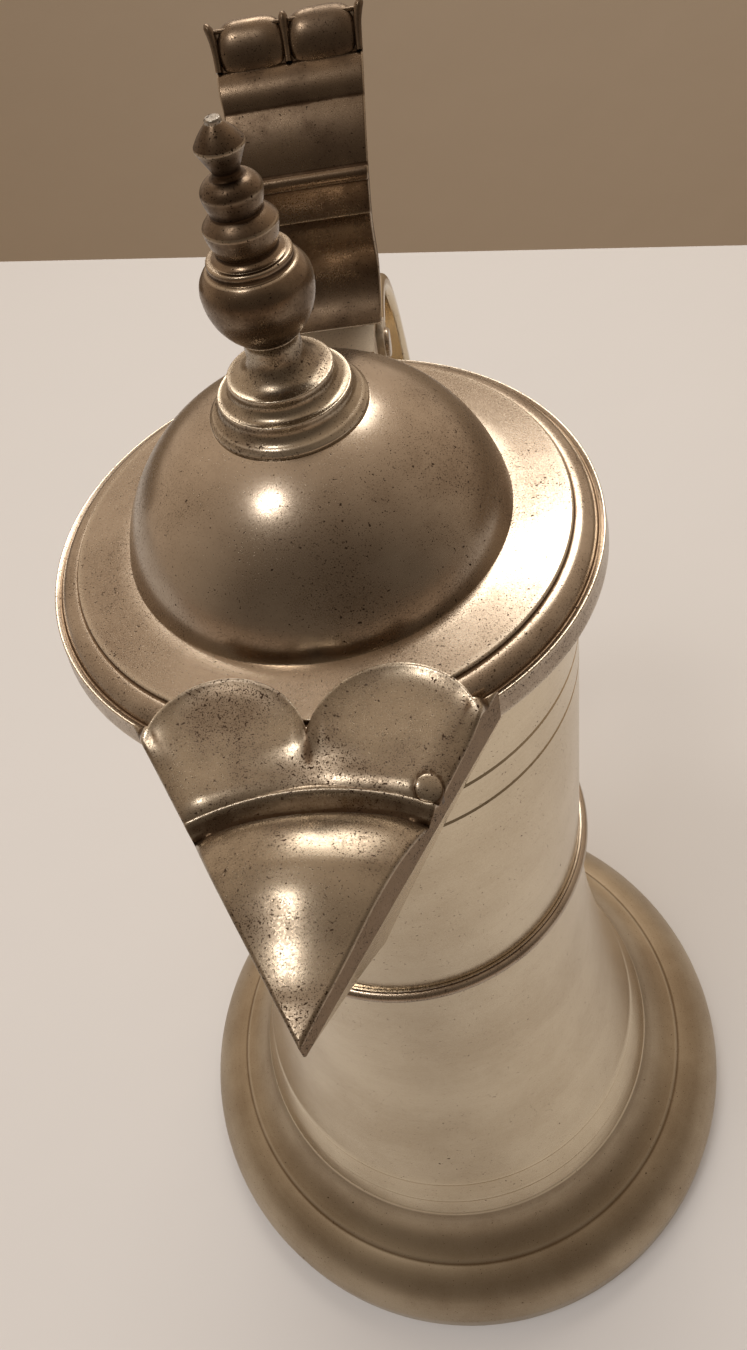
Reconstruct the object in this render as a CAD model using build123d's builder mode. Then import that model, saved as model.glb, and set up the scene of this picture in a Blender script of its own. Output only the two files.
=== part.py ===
"""Pewter jug with a flared foot, a beaked spout and a domed, hinged lid.

Millimetres, +Z up. The origin is on the jug's axis, on the table. The beak points to -Y and
the handle to +Y, and the lid turns about an axis along X behind its rim.
"""

from build123d import *

import math
import os

os.makedirs("parts", exist_ok=True)

# Foot
FOOT_RADIUS = 87.5
FOOT_EDGE_HEIGHT = 8.0
FOOT_ROUND_WIDTH = 13.5
FOOT_SHOULDER_HEIGHT = 22.0
FOOT_STEP = 1.4
FOOT_TOP_RADIUS = 62.6
FOOT_HEIGHT = 36.0
FOOT_BULGE = 3.5
FOOT_HOLLOW = 2.0
FOOT_WALL = 2.6

# Base plate, soldered in from below against a shoulder of the foot
BASE_RECESS = 7.6
BASE_THICKNESS = 2.4
BASE_LEDGE = 3.5
BASE_LEDGE_HEIGHT = 2.0
BASE_PLUG_RADIUS = 11.0
BASE_PLUG_LIP = 1.6
BASE_PLUG_LIP_THICKNESS = 1.0

# Body and neck
WALL = 2.2
BAND_RADIUS = 57.7
BAND_HEIGHT = 52.2
FLARE_HOLLOW = 3.5
NECK_RADIUS = 42.7
NECK_TOP_RADIUS = 43.1
WAIST_HEIGHT = 159.5
MOUTH_HEIGHT = 256.3
LINE_WIDTH = 0.7
LINE_HEIGHTS = (226.6, 235.3)
WAIST_RING_WIDTH = 4.6
WAIST_BEAD_WIDTH = 2.6
WAIST_BEAD_HEIGHT = 1.3
WAIST_FILLET_HEIGHT = 0.5

# Rim of the mouth
RIM_RADIUS = 45.4
RIM_HEIGHT = 5.0
RIM_CHAMFER = 1.0

# Lid
LID_RADIUS = 48.1
LID_EDGE_RADIUS = 47.5
LID_RIM_DEPTH = 4.5
LID_BEAD_OUTER = 46.3
LID_BEAD_INNER = 42.4
LID_BEAD_RISE = 1.9
LID_BEAD_BULGE = 0.95
LID_STEP_RISE = 2.8
LID_GROOVE_DEPTH = 0.7
LID_UNDERSIDE = 4.5
DOME_SEAT_RADIUS = 34.0
DOME_SEAT_RISE = 3.8
DOME_HOLE_MARGIN = 3.6
DOME_FOOT_RADIUS = 32.7
DOME_FOOT_FILLET = 0.8
DOME_FOOT_HOLLOW = 0.2
DOME_SIDE_RADIUS = 24.6
DOME_SIDE_RISE = 14.6
DOME_RISE = 22.3
DOME_WALL = 1.9
DOME_SHOULDER_INSET = 1.35
BEZEL_WALL = 1.6
BEZEL_DEPTH = 5.2
BEZEL_CLEARANCE = 0.9

# Beak, seen from above an isosceles triangle whose sides end on the lid's rim, the spread in
# degrees away from the beak's centreline
BEAK_REACH = 88.6
COVER_SPREAD = 34.9
COVER_SLAB_DROP = 1.6
COVER_WALL = 2.4
COVER_ROOF = 2.2
COVER_TRIM_HEIGHT = 24.0

# Panel of the cover, a pillow that slopes to the tip. Its crest is given as distances from the
# jug's axis and heights above the lid's edge.
PANEL_CREST = (
    (53.5, -6.5),
    (56.3, -0.6),
    (58.7, 2.6),
    (62.0, 4.3),
    (65.5, 4.8),
    (70.4, 3.9),
    (76.2, 1.5),
    (81.0, 0.1),
    (86.0, -0.2),
    (94.0, 0.4),
)
PANEL_HALF_WIDTH = 22.0
PANEL_CROWN_RADIUS = 31.0
PANEL_ROOT = 56.3
PANEL_ROOT_RADIUS = 59.3

# Crescent bead, lobes and plug of the cover
BEAD_REACH = 53.5
BEAD_ARC_RADIUS = 50.0
BEAD_RADIUS = 2.2
BEAD_RISE = 1.2
LOBE_RADIUS = 13.6
LOBE_OFFSET = 12.6
LOBE_CENTRE = 47.9
LOBE_SKIRT = 12.3
LOBE_SWELL = (26.0, 13.0, 10.0)
LOBE_SWELL_OFFSET = 11.0
LOBE_SWELL_CENTRE = 41.5
LOBE_RISE = 5.2
PLUG_RADIUS = 2.0
PLUG_MARGIN = 2.8
PLUG_REACH = 53.1
PLUG_PROUD = 0.25

# Spout under the cover
SPOUT_INSET = 1.2
SPOUT_WALL = 1.8
SPOUT_LIP_DEPTH = 3.4
SPOUT_MIDDLE_DROP = 34.0
SPOUT_MIDDLE_REACH = 65.5
SPOUT_KEEL_DROP = 68.0
SPOUT_KEEL_MARGIN = 0.7
PASSAGE_ROOT = 30.0

# Finial, heights above the top of the dome
FINIAL_BASE_RADIUS = 12.4
FINIAL_BASE_EDGE = 0.7
FINIAL_RING_RADIUS = 10.3
FINIAL_RING_HEIGHT = 3.5
FINIAL_LIP_RADIUS = 8.1
FINIAL_LIP_HEIGHT = 6.4
FINIAL_NECK_RADIUS = 4.2
FINIAL_NECK_HEIGHT = 11.3
FINIAL_JOINT_RADIUS = 4.5
FINIAL_JOINT_HEIGHT = 13.4
KNOP_RADIUS = 8.0
KNOP_HEIGHT = 20.6
KNOP_BOWL = 0.9
KNOP_SHOULDER = 0.5
KNOP_RIM_RADIUS = 5.9
KNOP_RIM_HEIGHT = 24.6
KNOP_RIM_EDGE = 1.0
KNOP_RIM_STEP = 0.5
LOWER_WAIST_RADIUS = 4.2
LOWER_WAIST_HEIGHT = 26.4
LOWER_DISC_RADIUS = 5.2
LOWER_DISC_HEIGHT = 30.0
UPPER_WAIST_RADIUS = 3.4
UPPER_WAIST_HEIGHT = 31.6
UPPER_DISC_RADIUS = 4.2
UPPER_DISC_HEIGHT = 34.4
COLLAR_RADIUS = 2.1
COLLAR_HEIGHT = 36.2
BUD_NECK_RADIUS = 1.75
BUD_NECK_HEIGHT = 36.8
BUD_RADIUS = 3.4
BUD_HEIGHT = 40.1
BUD_TOP_RADIUS = 1.1
BUD_TOP_HEIGHT = 42.8
SHALLOW_CURVE = 0.15
TURNED_CURVE = 0.45
COVE_CURVE = 0.9
DEEP_CURVE = 1.35
ROD_RADIUS = 1.0
ROD_CLEARANCE = 0.05
ROD_NUB = 0.6
ROD_NUB_FILLET = 0.3
WASHER_RADIUS = 5.0
WASHER_THICKNESS = 1.0
NUT_WIDTH = 6.0
NUT_THICKNESS = 2.4
ROD_TAIL = 1.2

# Hinge
HINGE_REACH = 56.5
HINGE_RISE = 1.0
KNUCKLE_RADIUS = 5.0
LID_KNUCKLE_WIDTH = 12.0
KNUCKLE_GAP = 0.35
SIDE_KNUCKLE_WIDTH = 4.2
PIN_RADIUS = 1.6
PIN_CLEARANCE = 0.05
PIN_HEAD_RADIUS = 2.9
PIN_HEAD_THICKNESS = 0.9
PIN_HEAD_FILLET = 0.45
LEAF_HALF_WIDTH = 9.2
LEAF_THICKNESS = 1.6
LEAF_CLEARANCE = 0.5
LEAF_ROOT = 43.6
LEAF_TAIL = 3.4

# Thumbpiece, a moulded strap that leans back. Its front is given as distances from the jug's
# axis and heights above the hinge leaf, from the foot to the crest.
THUMB_FOOT = (52.5, 0.0)
THUMB_COVE = (61.5, 9.6)
THUMB_NOSE = (59.4, 19.2)
THUMB_NOSE_TOP = (60.8, 27.0)
THUMB_HOLLOW = (64.4, 33.0)
THUMB_BAND = (69.3, 37.0)
THUMB_BAND_TOP = (74.0, 41.6)
THUMB_CREST = (78.3, 47.2)
THUMB_STEP = 0.7
THUMB_NOSE_HOLLOW = 0.35
THUMB_THICKNESS = 3.4
THUMB_ROOT_HALF_WIDTH = 10.0
THUMB_TOP_HALF_WIDTH = 14.0
GADROON_HALF_LENGTH = 5.0
GADROON_RADIUS = 3.2
GADROON_DEPTH = 1.2
POST_RADIUS = 0.9
POST_RISE = 1.2

# Handle
BRACKET_DROP = 5.4
BRACKET_DEPTH = 16.0
BRACKET_BACK = 58.0
BRACKET_SWEEP = 2.0
STRAP_THICKNESS = 4.0
STRAP_TOP_HALF_WIDTH = 9.2
STRAP_MIDDLE_HALF_WIDTH = 11.2
STRAP_END_HALF_WIDTH = 8.0
STRAP_LEVEL = 14.0
STRAP_SHOULDER = (106.0, 268.0)
STRAP_FALL = (109.0, 228.0)
STRAP_BACK = (112.0, 186.0)
STRAP_SWEEP_DROP = 46.0
STRAP_TURN_REACH = 92.0
STRAP_END_REACH = 60.0
STRAP_END_HEIGHT = 98.0
STRAP_EDGE_FILLET = 1.4
HANDLE_FOOT_HALF_WIDTH = 12.5
HANDLE_FOOT_HALF_HEIGHT = 17.0
HANDLE_FOOT_TIP_HALF_HEIGHT = 3.0
HANDLE_FOOT_ROOT = 29.0

# Gap between faces that are soldered together on a curve
SOLDER_GAP = 0.05

lid_edge = MOUTH_HEIGHT + LID_RIM_DEPTH
dome_seat = lid_edge + DOME_SEAT_RISE
dome_top = dome_seat + DOME_RISE
hinge_height = MOUTH_HEIGHT + HINGE_RISE
neck_inner_radius = NECK_RADIUS - WALL
base_top = BASE_RECESS + BASE_THICKNESS
base_radius = FOOT_RADIUS - FOOT_WALL - SOLDER_GAP
shoulder_radius = FOOT_RADIUS - FOOT_ROUND_WIDTH
cover_spread = math.radians(COVER_SPREAD)
cover_root = LID_RADIUS * math.cos(cover_spread)
beak_slope = LID_RADIUS * math.sin(cover_spread) / (BEAK_REACH - cover_root)
beak_half_angle = math.atan(beak_slope)
spout_root = BEAK_REACH * math.sin(beak_half_angle) ** 2
plug_offset = (BEAK_REACH - PLUG_REACH) * beak_slope - PLUG_MARGIN


def save(part, name):
    """Labels a finished piece and writes it under its node name."""
    part.label = name
    export_step(part, f"parts/{name}.step")


def neck_radius(height):
    """Outer radius of the neck, which widens a little towards the mouth."""
    share = (height - WAIST_HEIGHT) / (MOUTH_HEIGHT - WAIST_HEIGHT)
    return NECK_RADIUS + share * (NECK_TOP_RADIUS - NECK_RADIUS)


def foot_outline(inset):
    """Outline of the foot from the table to its top, moved inwards by inset."""
    top = (FOOT_TOP_RADIUS - inset, FOOT_HEIGHT)
    shoulder = (shoulder_radius - inset, FOOT_SHOULDER_HEIGHT)
    step = (shoulder_radius - FOOT_STEP - inset, FOOT_SHOULDER_HEIGHT + FOOT_STEP)
    edge = (FOOT_RADIUS - inset, FOOT_EDGE_HEIGHT)
    Line((0, 0), (FOOT_RADIUS - inset, 0))
    Line((FOOT_RADIUS - inset, 0), edge)
    SagittaArc(edge, shoulder, -FOOT_BULGE)
    Line(shoulder, step)
    SagittaArc(step, top, FOOT_HOLLOW)
    Line(top, (0, FOOT_HEIGHT))
    Line((0, FOOT_HEIGHT), (0, 0))


def body_outline(inset):
    """Outline of the flared body from the foot to the waist, moved inwards by inset."""
    foot = (FOOT_TOP_RADIUS - inset, FOOT_HEIGHT)
    band = (BAND_RADIUS - inset, BAND_HEIGHT)
    waist = (NECK_RADIUS - inset, WAIST_HEIGHT)
    Line((0, FOOT_HEIGHT), foot)
    Line(foot, band)
    SagittaArc(band, waist, FLARE_HOLLOW)
    Line(waist, (0, WAIST_HEIGHT))
    Line((0, WAIST_HEIGHT), (0, FOOT_HEIGHT))


def beak_outline(inset, root, reach=BEAK_REACH):
    """Corners of the beak's triangle, its sides moved inwards by inset, from its tip to root."""
    tip = reach - inset / math.sin(beak_half_angle)
    half_width = (tip - root) * beak_slope
    return [(0, -tip), (half_width, -root), (-half_width, -root)]


def spout_sections(inset, root):
    """Triangles of the spout's keel, each as (height, corners), from its lip downwards."""
    lip = MOUTH_HEIGHT - SPOUT_LIP_DEPTH
    middle = MOUTH_HEIGHT - SPOUT_MIDDLE_DROP
    keel = MOUTH_HEIGHT - SPOUT_KEEL_DROP
    return [
        (lip, beak_outline(SPOUT_INSET + inset, root)),
        (middle, beak_outline(inset, root, SPOUT_MIDDLE_REACH)),
        (keel, beak_outline(inset, root, neck_radius(keel) + SPOUT_KEEL_MARGIN)),
    ]


# Foot ring: a hollow stepped moulding with a ledge that the base plate is soldered against
with BuildPart() as foot_ring:
    with BuildSketch(Plane.XZ):
        with BuildLine():
            foot_outline(0)
        make_face()
    revolve(axis=Axis.Z)
    with BuildSketch(Plane.XZ):
        with BuildLine():
            foot_outline(FOOT_WALL)
        make_face()
    revolve(axis=Axis.Z, mode=Mode.SUBTRACT)
    with BuildSketch():
        Circle(base_radius + SOLDER_GAP)
    extrude(amount=base_top, mode=Mode.SUBTRACT)
    with BuildSketch(Plane.XY.offset(base_top)):
        Circle(base_radius + SOLDER_GAP)
        Circle(base_radius - BASE_LEDGE, mode=Mode.SUBTRACT)
    extrude(amount=BASE_LEDGE_HEIGHT)
save(foot_ring.part, "foot_ring")

# Base plate: closes the jug from below, with the hole left by the lathe's centre
with BuildPart() as base_plate:
    with BuildSketch(Plane.XY.offset(BASE_RECESS)):
        Circle(base_radius)
        Circle(BASE_PLUG_RADIUS, mode=Mode.SUBTRACT)
    extrude(amount=BASE_THICKNESS)
save(base_plate.part, "base_plate")

# Base plug: a flanged disc soldered into that hole
with BuildPart() as base_plug:
    with BuildSketch(Plane.XY.offset(BASE_RECESS - BASE_PLUG_LIP_THICKNESS)):
        Circle(BASE_PLUG_RADIUS + BASE_PLUG_LIP)
    extrude(amount=BASE_PLUG_LIP_THICKNESS)
    with BuildSketch(Plane.XY.offset(BASE_RECESS)):
        Circle(BASE_PLUG_RADIUS - SOLDER_GAP)
    extrude(amount=BASE_THICKNESS)
save(base_plug.part, "base_plug")

# Lower body: the flared shell between the foot and the waist
with BuildPart() as lower_body:
    with BuildSketch(Plane.XZ):
        with BuildLine():
            body_outline(0)
        make_face()
    revolve(axis=Axis.Z)
    with BuildSketch(Plane.XZ):
        with BuildLine():
            body_outline(WALL)
        make_face()
    revolve(axis=Axis.Z, mode=Mode.SUBTRACT)
save(lower_body.part, "lower_body")

# Waist ring: a bead between two thin fillets, over the seam of body and neck
with BuildPart() as waist_ring:
    seam = NECK_RADIUS + SOLDER_GAP
    fillet_radius = seam + WAIST_FILLET_HEIGHT
    bead_radius = fillet_radius + WAIST_BEAD_HEIGHT
    with BuildSketch(Plane.XZ):
        with BuildLine():
            Polyline(
                (fillet_radius, WAIST_HEIGHT - WAIST_BEAD_WIDTH / 2),
                (fillet_radius, WAIST_HEIGHT - WAIST_RING_WIDTH / 2),
                (seam, WAIST_HEIGHT - WAIST_RING_WIDTH / 2),
                (seam, WAIST_HEIGHT + WAIST_RING_WIDTH / 2),
                (fillet_radius, WAIST_HEIGHT + WAIST_RING_WIDTH / 2),
                (fillet_radius, WAIST_HEIGHT + WAIST_BEAD_WIDTH / 2),
            )
            ThreePointArc(
                (fillet_radius, WAIST_HEIGHT + WAIST_BEAD_WIDTH / 2),
                (bead_radius, WAIST_HEIGHT),
                (fillet_radius, WAIST_HEIGHT - WAIST_BEAD_WIDTH / 2),
            )
        make_face()
    revolve(axis=Axis.Z)
save(waist_ring.part, "waist_ring")

# Spout, solid, with its lip and its keel, and the passage inside it
with BuildPart() as spout_outside:
    with BuildSketch(Plane.XY.offset(MOUTH_HEIGHT - SPOUT_LIP_DEPTH)):
        Polygon(*beak_outline(SPOUT_INSET, spout_root), align=None)
    extrude(amount=SPOUT_LIP_DEPTH)
    for height, corners in spout_sections(0, spout_root):
        with BuildSketch(Plane.XY.offset(height)):
            Polygon(*corners, align=None)
    loft()
with BuildPart() as spout_passage:
    with BuildSketch(Plane.XY.offset(MOUTH_HEIGHT - SPOUT_LIP_DEPTH)):
        Polygon(*beak_outline(SPOUT_INSET + SPOUT_WALL, PASSAGE_ROOT), align=None)
    extrude(amount=SPOUT_LIP_DEPTH)
    for height, corners in spout_sections(SPOUT_WALL, PASSAGE_ROOT):
        with BuildSketch(Plane.XY.offset(height)):
            Polygon(*corners, align=None)
    loft()

# Neck: a nearly straight shell with two turned lines, open to the spout
with BuildPart() as neck:
    with BuildSketch(Plane.XZ):
        with BuildLine():
            Polyline(
                (0, WAIST_HEIGHT),
                (NECK_RADIUS, WAIST_HEIGHT),
                (NECK_TOP_RADIUS, MOUTH_HEIGHT),
                (0, MOUTH_HEIGHT),
                close=True,
            )
        make_face()
        for line_height in LINE_HEIGHTS:
            with Locations((neck_radius(line_height), line_height)):
                Rectangle(LINE_WIDTH, LINE_WIDTH, rotation=45, mode=Mode.SUBTRACT)
    revolve(axis=Axis.Z)
    with BuildSketch(Plane.XY.offset(WAIST_HEIGHT)):
        Circle(neck_inner_radius)
    extrude(amount=MOUTH_HEIGHT - WAIST_HEIGHT, mode=Mode.SUBTRACT)
    add(spout_passage.part, mode=Mode.SUBTRACT)
save(neck.part, "neck")
with BuildPart() as neck_outside:
    with BuildSketch(Plane.XY.offset(WAIST_HEIGHT)):
        Circle(NECK_TOP_RADIUS + SOLDER_GAP)
    extrude(amount=MOUTH_HEIGHT - WAIST_HEIGHT)

# Spout: the thin trough, soldered to the neck
with BuildPart() as spout:
    add(spout_outside.part)
    add(spout_passage.part, mode=Mode.SUBTRACT)
    add(neck_outside.part, mode=Mode.SUBTRACT)
save(spout.part, "spout")

# Rim ring: thickens the mouth, and stops at the spout
with BuildPart() as rim_ring:
    with BuildSketch(Plane.XY.offset(MOUTH_HEIGHT - RIM_HEIGHT)):
        Circle(RIM_RADIUS)
        Circle(NECK_TOP_RADIUS + SOLDER_GAP, mode=Mode.SUBTRACT)
    extrude(amount=RIM_HEIGHT)
    lower_edges = rim_ring.edges().group_by(Axis.Z)[0].sort_by(SortBy.RADIUS)
    chamfer(lower_edges[-1], length=RIM_CHAMFER)
    with BuildSketch(Plane.XY.offset(MOUTH_HEIGHT - RIM_HEIGHT)):
        Polygon(*beak_outline(SPOUT_INSET - SOLDER_GAP, spout_root), align=None)
    extrude(amount=RIM_HEIGHT, mode=Mode.SUBTRACT)
save(rim_ring.part, "rim_ring")

# Lid flange, solid: a flat annulus, a step, a bead and a groove inside the edge
with BuildPart() as lid_outside:
    step_top = lid_edge + LID_STEP_RISE
    with BuildSketch(Plane.XZ):
        with BuildLine():
            Polyline(
                (0, MOUTH_HEIGHT),
                (LID_RADIUS, MOUTH_HEIGHT),
                (LID_EDGE_RADIUS, lid_edge),
                (LID_BEAD_OUTER, lid_edge - LID_GROOVE_DEPTH),
            )
            SagittaArc(
                (LID_BEAD_OUTER, lid_edge - LID_GROOVE_DEPTH),
                (LID_BEAD_INNER, lid_edge + LID_BEAD_RISE),
                -LID_BEAD_BULGE,
            )
            Polyline(
                (LID_BEAD_INNER, lid_edge + LID_BEAD_RISE),
                (LID_BEAD_INNER, step_top),
                (DOME_SEAT_RADIUS, dome_seat),
                (0, dome_seat),
                (0, MOUTH_HEIGHT),
            )
        make_face()
    revolve(axis=Axis.Z)

# Lid flange: hollow below, with the opening under the dome
with BuildPart() as lid_flange:
    add(lid_outside.part)
    bezel_radius = neck_inner_radius - BEZEL_CLEARANCE
    with BuildSketch(Plane.XY.offset(MOUTH_HEIGHT)):
        Circle(bezel_radius + SOLDER_GAP)
    extrude(amount=LID_UNDERSIDE, mode=Mode.SUBTRACT)
    with BuildSketch(Plane.XY.offset(MOUTH_HEIGHT)):
        Circle(DOME_SEAT_RADIUS - DOME_HOLE_MARGIN)
    extrude(amount=LID_RIM_DEPTH + DOME_SEAT_RISE, mode=Mode.SUBTRACT)
save(lid_flange.part, "lid_flange")

# Bezel: the ring under the lid that drops inside the neck, open at the beak
with BuildPart() as lid_bezel:
    with BuildSketch(Plane.XY.offset(MOUTH_HEIGHT + LID_UNDERSIDE)):
        Circle(bezel_radius)
        Circle(bezel_radius - BEZEL_WALL, mode=Mode.SUBTRACT)
    extrude(amount=-LID_UNDERSIDE - BEZEL_DEPTH)
    with BuildSketch(Plane.XY.offset(MOUTH_HEIGHT - BEZEL_DEPTH)):
        Polygon(*beak_outline(SPOUT_INSET + SPOUT_WALL, PASSAGE_ROOT), align=None)
    extrude(amount=BEZEL_DEPTH, mode=Mode.SUBTRACT)
save(lid_bezel.part, "lid_bezel")

# Lid dome: a shell with a small fillet at its foot and a flat seat for the finial
with BuildPart() as lid_dome:
    dome_side_radius = DOME_FOOT_RADIUS - DOME_FOOT_FILLET
    dome_inner_foot = dome_side_radius - DOME_WALL
    dome_side_foot = dome_seat + 2 * DOME_FOOT_FILLET
    dome_shoulder = (DOME_SIDE_RADIUS, dome_seat + DOME_SIDE_RISE)
    with BuildSketch(Plane.XZ):
        with BuildLine():
            Polyline(
                (0, dome_seat),
                (DOME_FOOT_RADIUS, dome_seat),
                (DOME_FOOT_RADIUS, dome_seat + DOME_FOOT_FILLET),
            )
            SagittaArc(
                (DOME_FOOT_RADIUS, dome_seat + DOME_FOOT_FILLET),
                (dome_side_radius, dome_side_foot),
                DOME_FOOT_HOLLOW,
            )
            ThreePointArc(
                (dome_side_radius, dome_side_foot),
                dome_shoulder,
                (FINIAL_BASE_RADIUS, dome_top),
            )
            Polyline((FINIAL_BASE_RADIUS, dome_top), (0, dome_top), (0, dome_seat))
        make_face()
    revolve(axis=Axis.Z)
    with BuildSketch(Plane.XZ):
        with BuildLine():
            Polyline(
                (0, dome_seat),
                (dome_inner_foot, dome_seat),
                (dome_inner_foot, dome_side_foot),
            )
            ThreePointArc(
                (dome_inner_foot, dome_side_foot),
                (dome_shoulder[0] - DOME_SHOULDER_INSET, dome_shoulder[1] - DOME_SHOULDER_INSET),
                (FINIAL_BASE_RADIUS - DOME_WALL, dome_top - DOME_WALL),
            )
            Polyline(
                (FINIAL_BASE_RADIUS - DOME_WALL, dome_top - DOME_WALL),
                (0, dome_top - DOME_WALL),
                (0, dome_seat),
            )
        make_face()
    revolve(axis=Axis.Z, mode=Mode.SUBTRACT)
    with Locations((0, 0, dome_top)):
        Hole(ROD_RADIUS + ROD_CLEARANCE)
save(lid_dome.part, "lid_dome")

# Finial: profiles run upwards from the dome on a plane through the jug's axis
finial_plane = Plane(origin=(0, 0, dome_top), x_dir=(1, 0, 0), z_dir=(0, -1, 0))


def turned(points, curves):
    """Closed outline turned on the axis: each curve bulges in (+) or out (-) to the next point."""
    first, last = points[0], points[-1]
    Line((0, first[1]), first)
    for start, end, curve in zip(points, points[1:], curves):
        if curve:
            SagittaArc(start, end, curve)
        else:
            Line(start, end)
    Line(last, (0, last[1]))
    Line((0, last[1]), (0, first[1]))


# Finial base: two stepped rings and a trumpet-shaped neck
with BuildPart() as finial_base:
    with BuildSketch(finial_plane):
        with BuildLine():
            turned(
                [
                    (FINIAL_BASE_RADIUS, 0),
                    (FINIAL_BASE_RADIUS, FINIAL_BASE_EDGE),
                    (FINIAL_BASE_RADIUS - FINIAL_BASE_EDGE, 2 * FINIAL_BASE_EDGE),
                    (FINIAL_RING_RADIUS, FINIAL_RING_HEIGHT),
                    (FINIAL_RING_RADIUS, FINIAL_RING_HEIGHT + FINIAL_BASE_EDGE),
                    (FINIAL_LIP_RADIUS, FINIAL_LIP_HEIGHT),
                    (FINIAL_LIP_RADIUS, FINIAL_LIP_HEIGHT + FINIAL_BASE_EDGE),
                    (FINIAL_NECK_RADIUS, FINIAL_NECK_HEIGHT),
                    (FINIAL_JOINT_RADIUS, FINIAL_JOINT_HEIGHT),
                ],
                [
                    0,
                    -SHALLOW_CURVE,
                    TURNED_CURVE,
                    0,
                    COVE_CURVE,
                    0,
                    DEEP_CURVE,
                    SHALLOW_CURVE,
                ],
            )
        make_face()
    revolve(axis=Axis.Z)
    with Locations((0, 0, dome_top + FINIAL_JOINT_HEIGHT)):
        Hole(ROD_RADIUS + ROD_CLEARANCE)
save(finial_base.part, "finial_base")

# Finial knop: a bowl with a sharp edge, and a ring above its shoulder
with BuildPart() as finial_knop:
    with BuildSketch(finial_plane):
        with BuildLine():
            turned(
                [
                    (FINIAL_JOINT_RADIUS, FINIAL_JOINT_HEIGHT),
                    (KNOP_RADIUS, KNOP_HEIGHT),
                    (KNOP_RIM_RADIUS + KNOP_RIM_STEP, KNOP_RIM_HEIGHT - KNOP_RIM_STEP),
                    (KNOP_RIM_RADIUS, KNOP_RIM_HEIGHT),
                    (KNOP_RIM_RADIUS, KNOP_RIM_HEIGHT + KNOP_RIM_EDGE),
                ],
                [-KNOP_BOWL, -KNOP_SHOULDER, SHALLOW_CURVE, -SHALLOW_CURVE],
            )
        make_face()
    revolve(axis=Axis.Z)
    with Locations((0, 0, dome_top + KNOP_RIM_HEIGHT + KNOP_RIM_EDGE)):
        Hole(ROD_RADIUS + ROD_CLEARANCE)
save(finial_knop.part, "finial_knop")

# Finial spindle: two cupped discs under a pointed bud
with BuildPart() as finial_spindle:
    with BuildSketch(finial_plane):
        with BuildLine():
            turned(
                [
                    (KNOP_RIM_RADIUS - KNOP_RIM_STEP, KNOP_RIM_HEIGHT + KNOP_RIM_EDGE),
                    (LOWER_WAIST_RADIUS, LOWER_WAIST_HEIGHT),
                    (LOWER_DISC_RADIUS, LOWER_DISC_HEIGHT),
                    (UPPER_WAIST_RADIUS, UPPER_WAIST_HEIGHT),
                    (UPPER_DISC_RADIUS, UPPER_DISC_HEIGHT),
                    (COLLAR_RADIUS, COLLAR_HEIGHT),
                    (BUD_NECK_RADIUS, BUD_NECK_HEIGHT),
                    (BUD_RADIUS, BUD_HEIGHT),
                    (BUD_TOP_RADIUS, BUD_TOP_HEIGHT),
                ],
                [
                    SHALLOW_CURVE,
                    -SHALLOW_CURVE,
                    -SHALLOW_CURVE,
                    -SHALLOW_CURVE,
                    -TURNED_CURVE,
                    0,
                    0,
                    -SHALLOW_CURVE,
                ],
            )
        make_face()
    revolve(axis=Axis.Z)
    with Locations((0, 0, dome_top + BUD_TOP_HEIGHT)):
        Hole(ROD_RADIUS + ROD_CLEARANCE)
save(finial_spindle.part, "finial_spindle")

# Finial rod, washer and nut: the rod runs from the peened nub on top to the nut in the dome
washer_top = dome_top - DOME_WALL
nut_top = washer_top - WASHER_THICKNESS
rod_foot = nut_top - NUT_THICKNESS - ROD_TAIL
rod_top = dome_top + BUD_TOP_HEIGHT
with BuildPart() as finial_rod:
    with BuildSketch(Plane.XY.offset(rod_foot)):
        Circle(ROD_RADIUS)
    extrude(amount=rod_top - rod_foot)
    with BuildSketch(Plane.XY.offset(rod_top)):
        Circle(BUD_TOP_RADIUS)
    extrude(amount=ROD_NUB)
    fillet(finial_rod.edges().group_by(Axis.Z)[-1], radius=ROD_NUB_FILLET)
save(finial_rod.part, "finial_rod")

with BuildPart() as finial_washer:
    with BuildSketch(Plane.XY.offset(nut_top)):
        Circle(WASHER_RADIUS)
        Circle(ROD_RADIUS + ROD_CLEARANCE, mode=Mode.SUBTRACT)
    extrude(amount=WASHER_THICKNESS)
save(finial_washer.part, "finial_washer")

with BuildPart() as finial_nut:
    with BuildSketch(Plane.XY.offset(nut_top - NUT_THICKNESS)):
        Rectangle(NUT_WIDTH, NUT_WIDTH)
        Circle(ROD_RADIUS + ROD_CLEARANCE, mode=Mode.SUBTRACT)
    extrude(amount=NUT_THICKNESS)
save(finial_nut.part, "finial_nut")

# Beak cover: a slab on the spout's lip, a pillow-shaped panel that slopes to the tip, a crescent
# bead across it, and two lobes that rise over the lid's rim
cover_base = lid_edge - COVER_SLAB_DROP
bead_centre = (0, -BEAD_REACH - BEAD_ARC_RADIUS)


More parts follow.
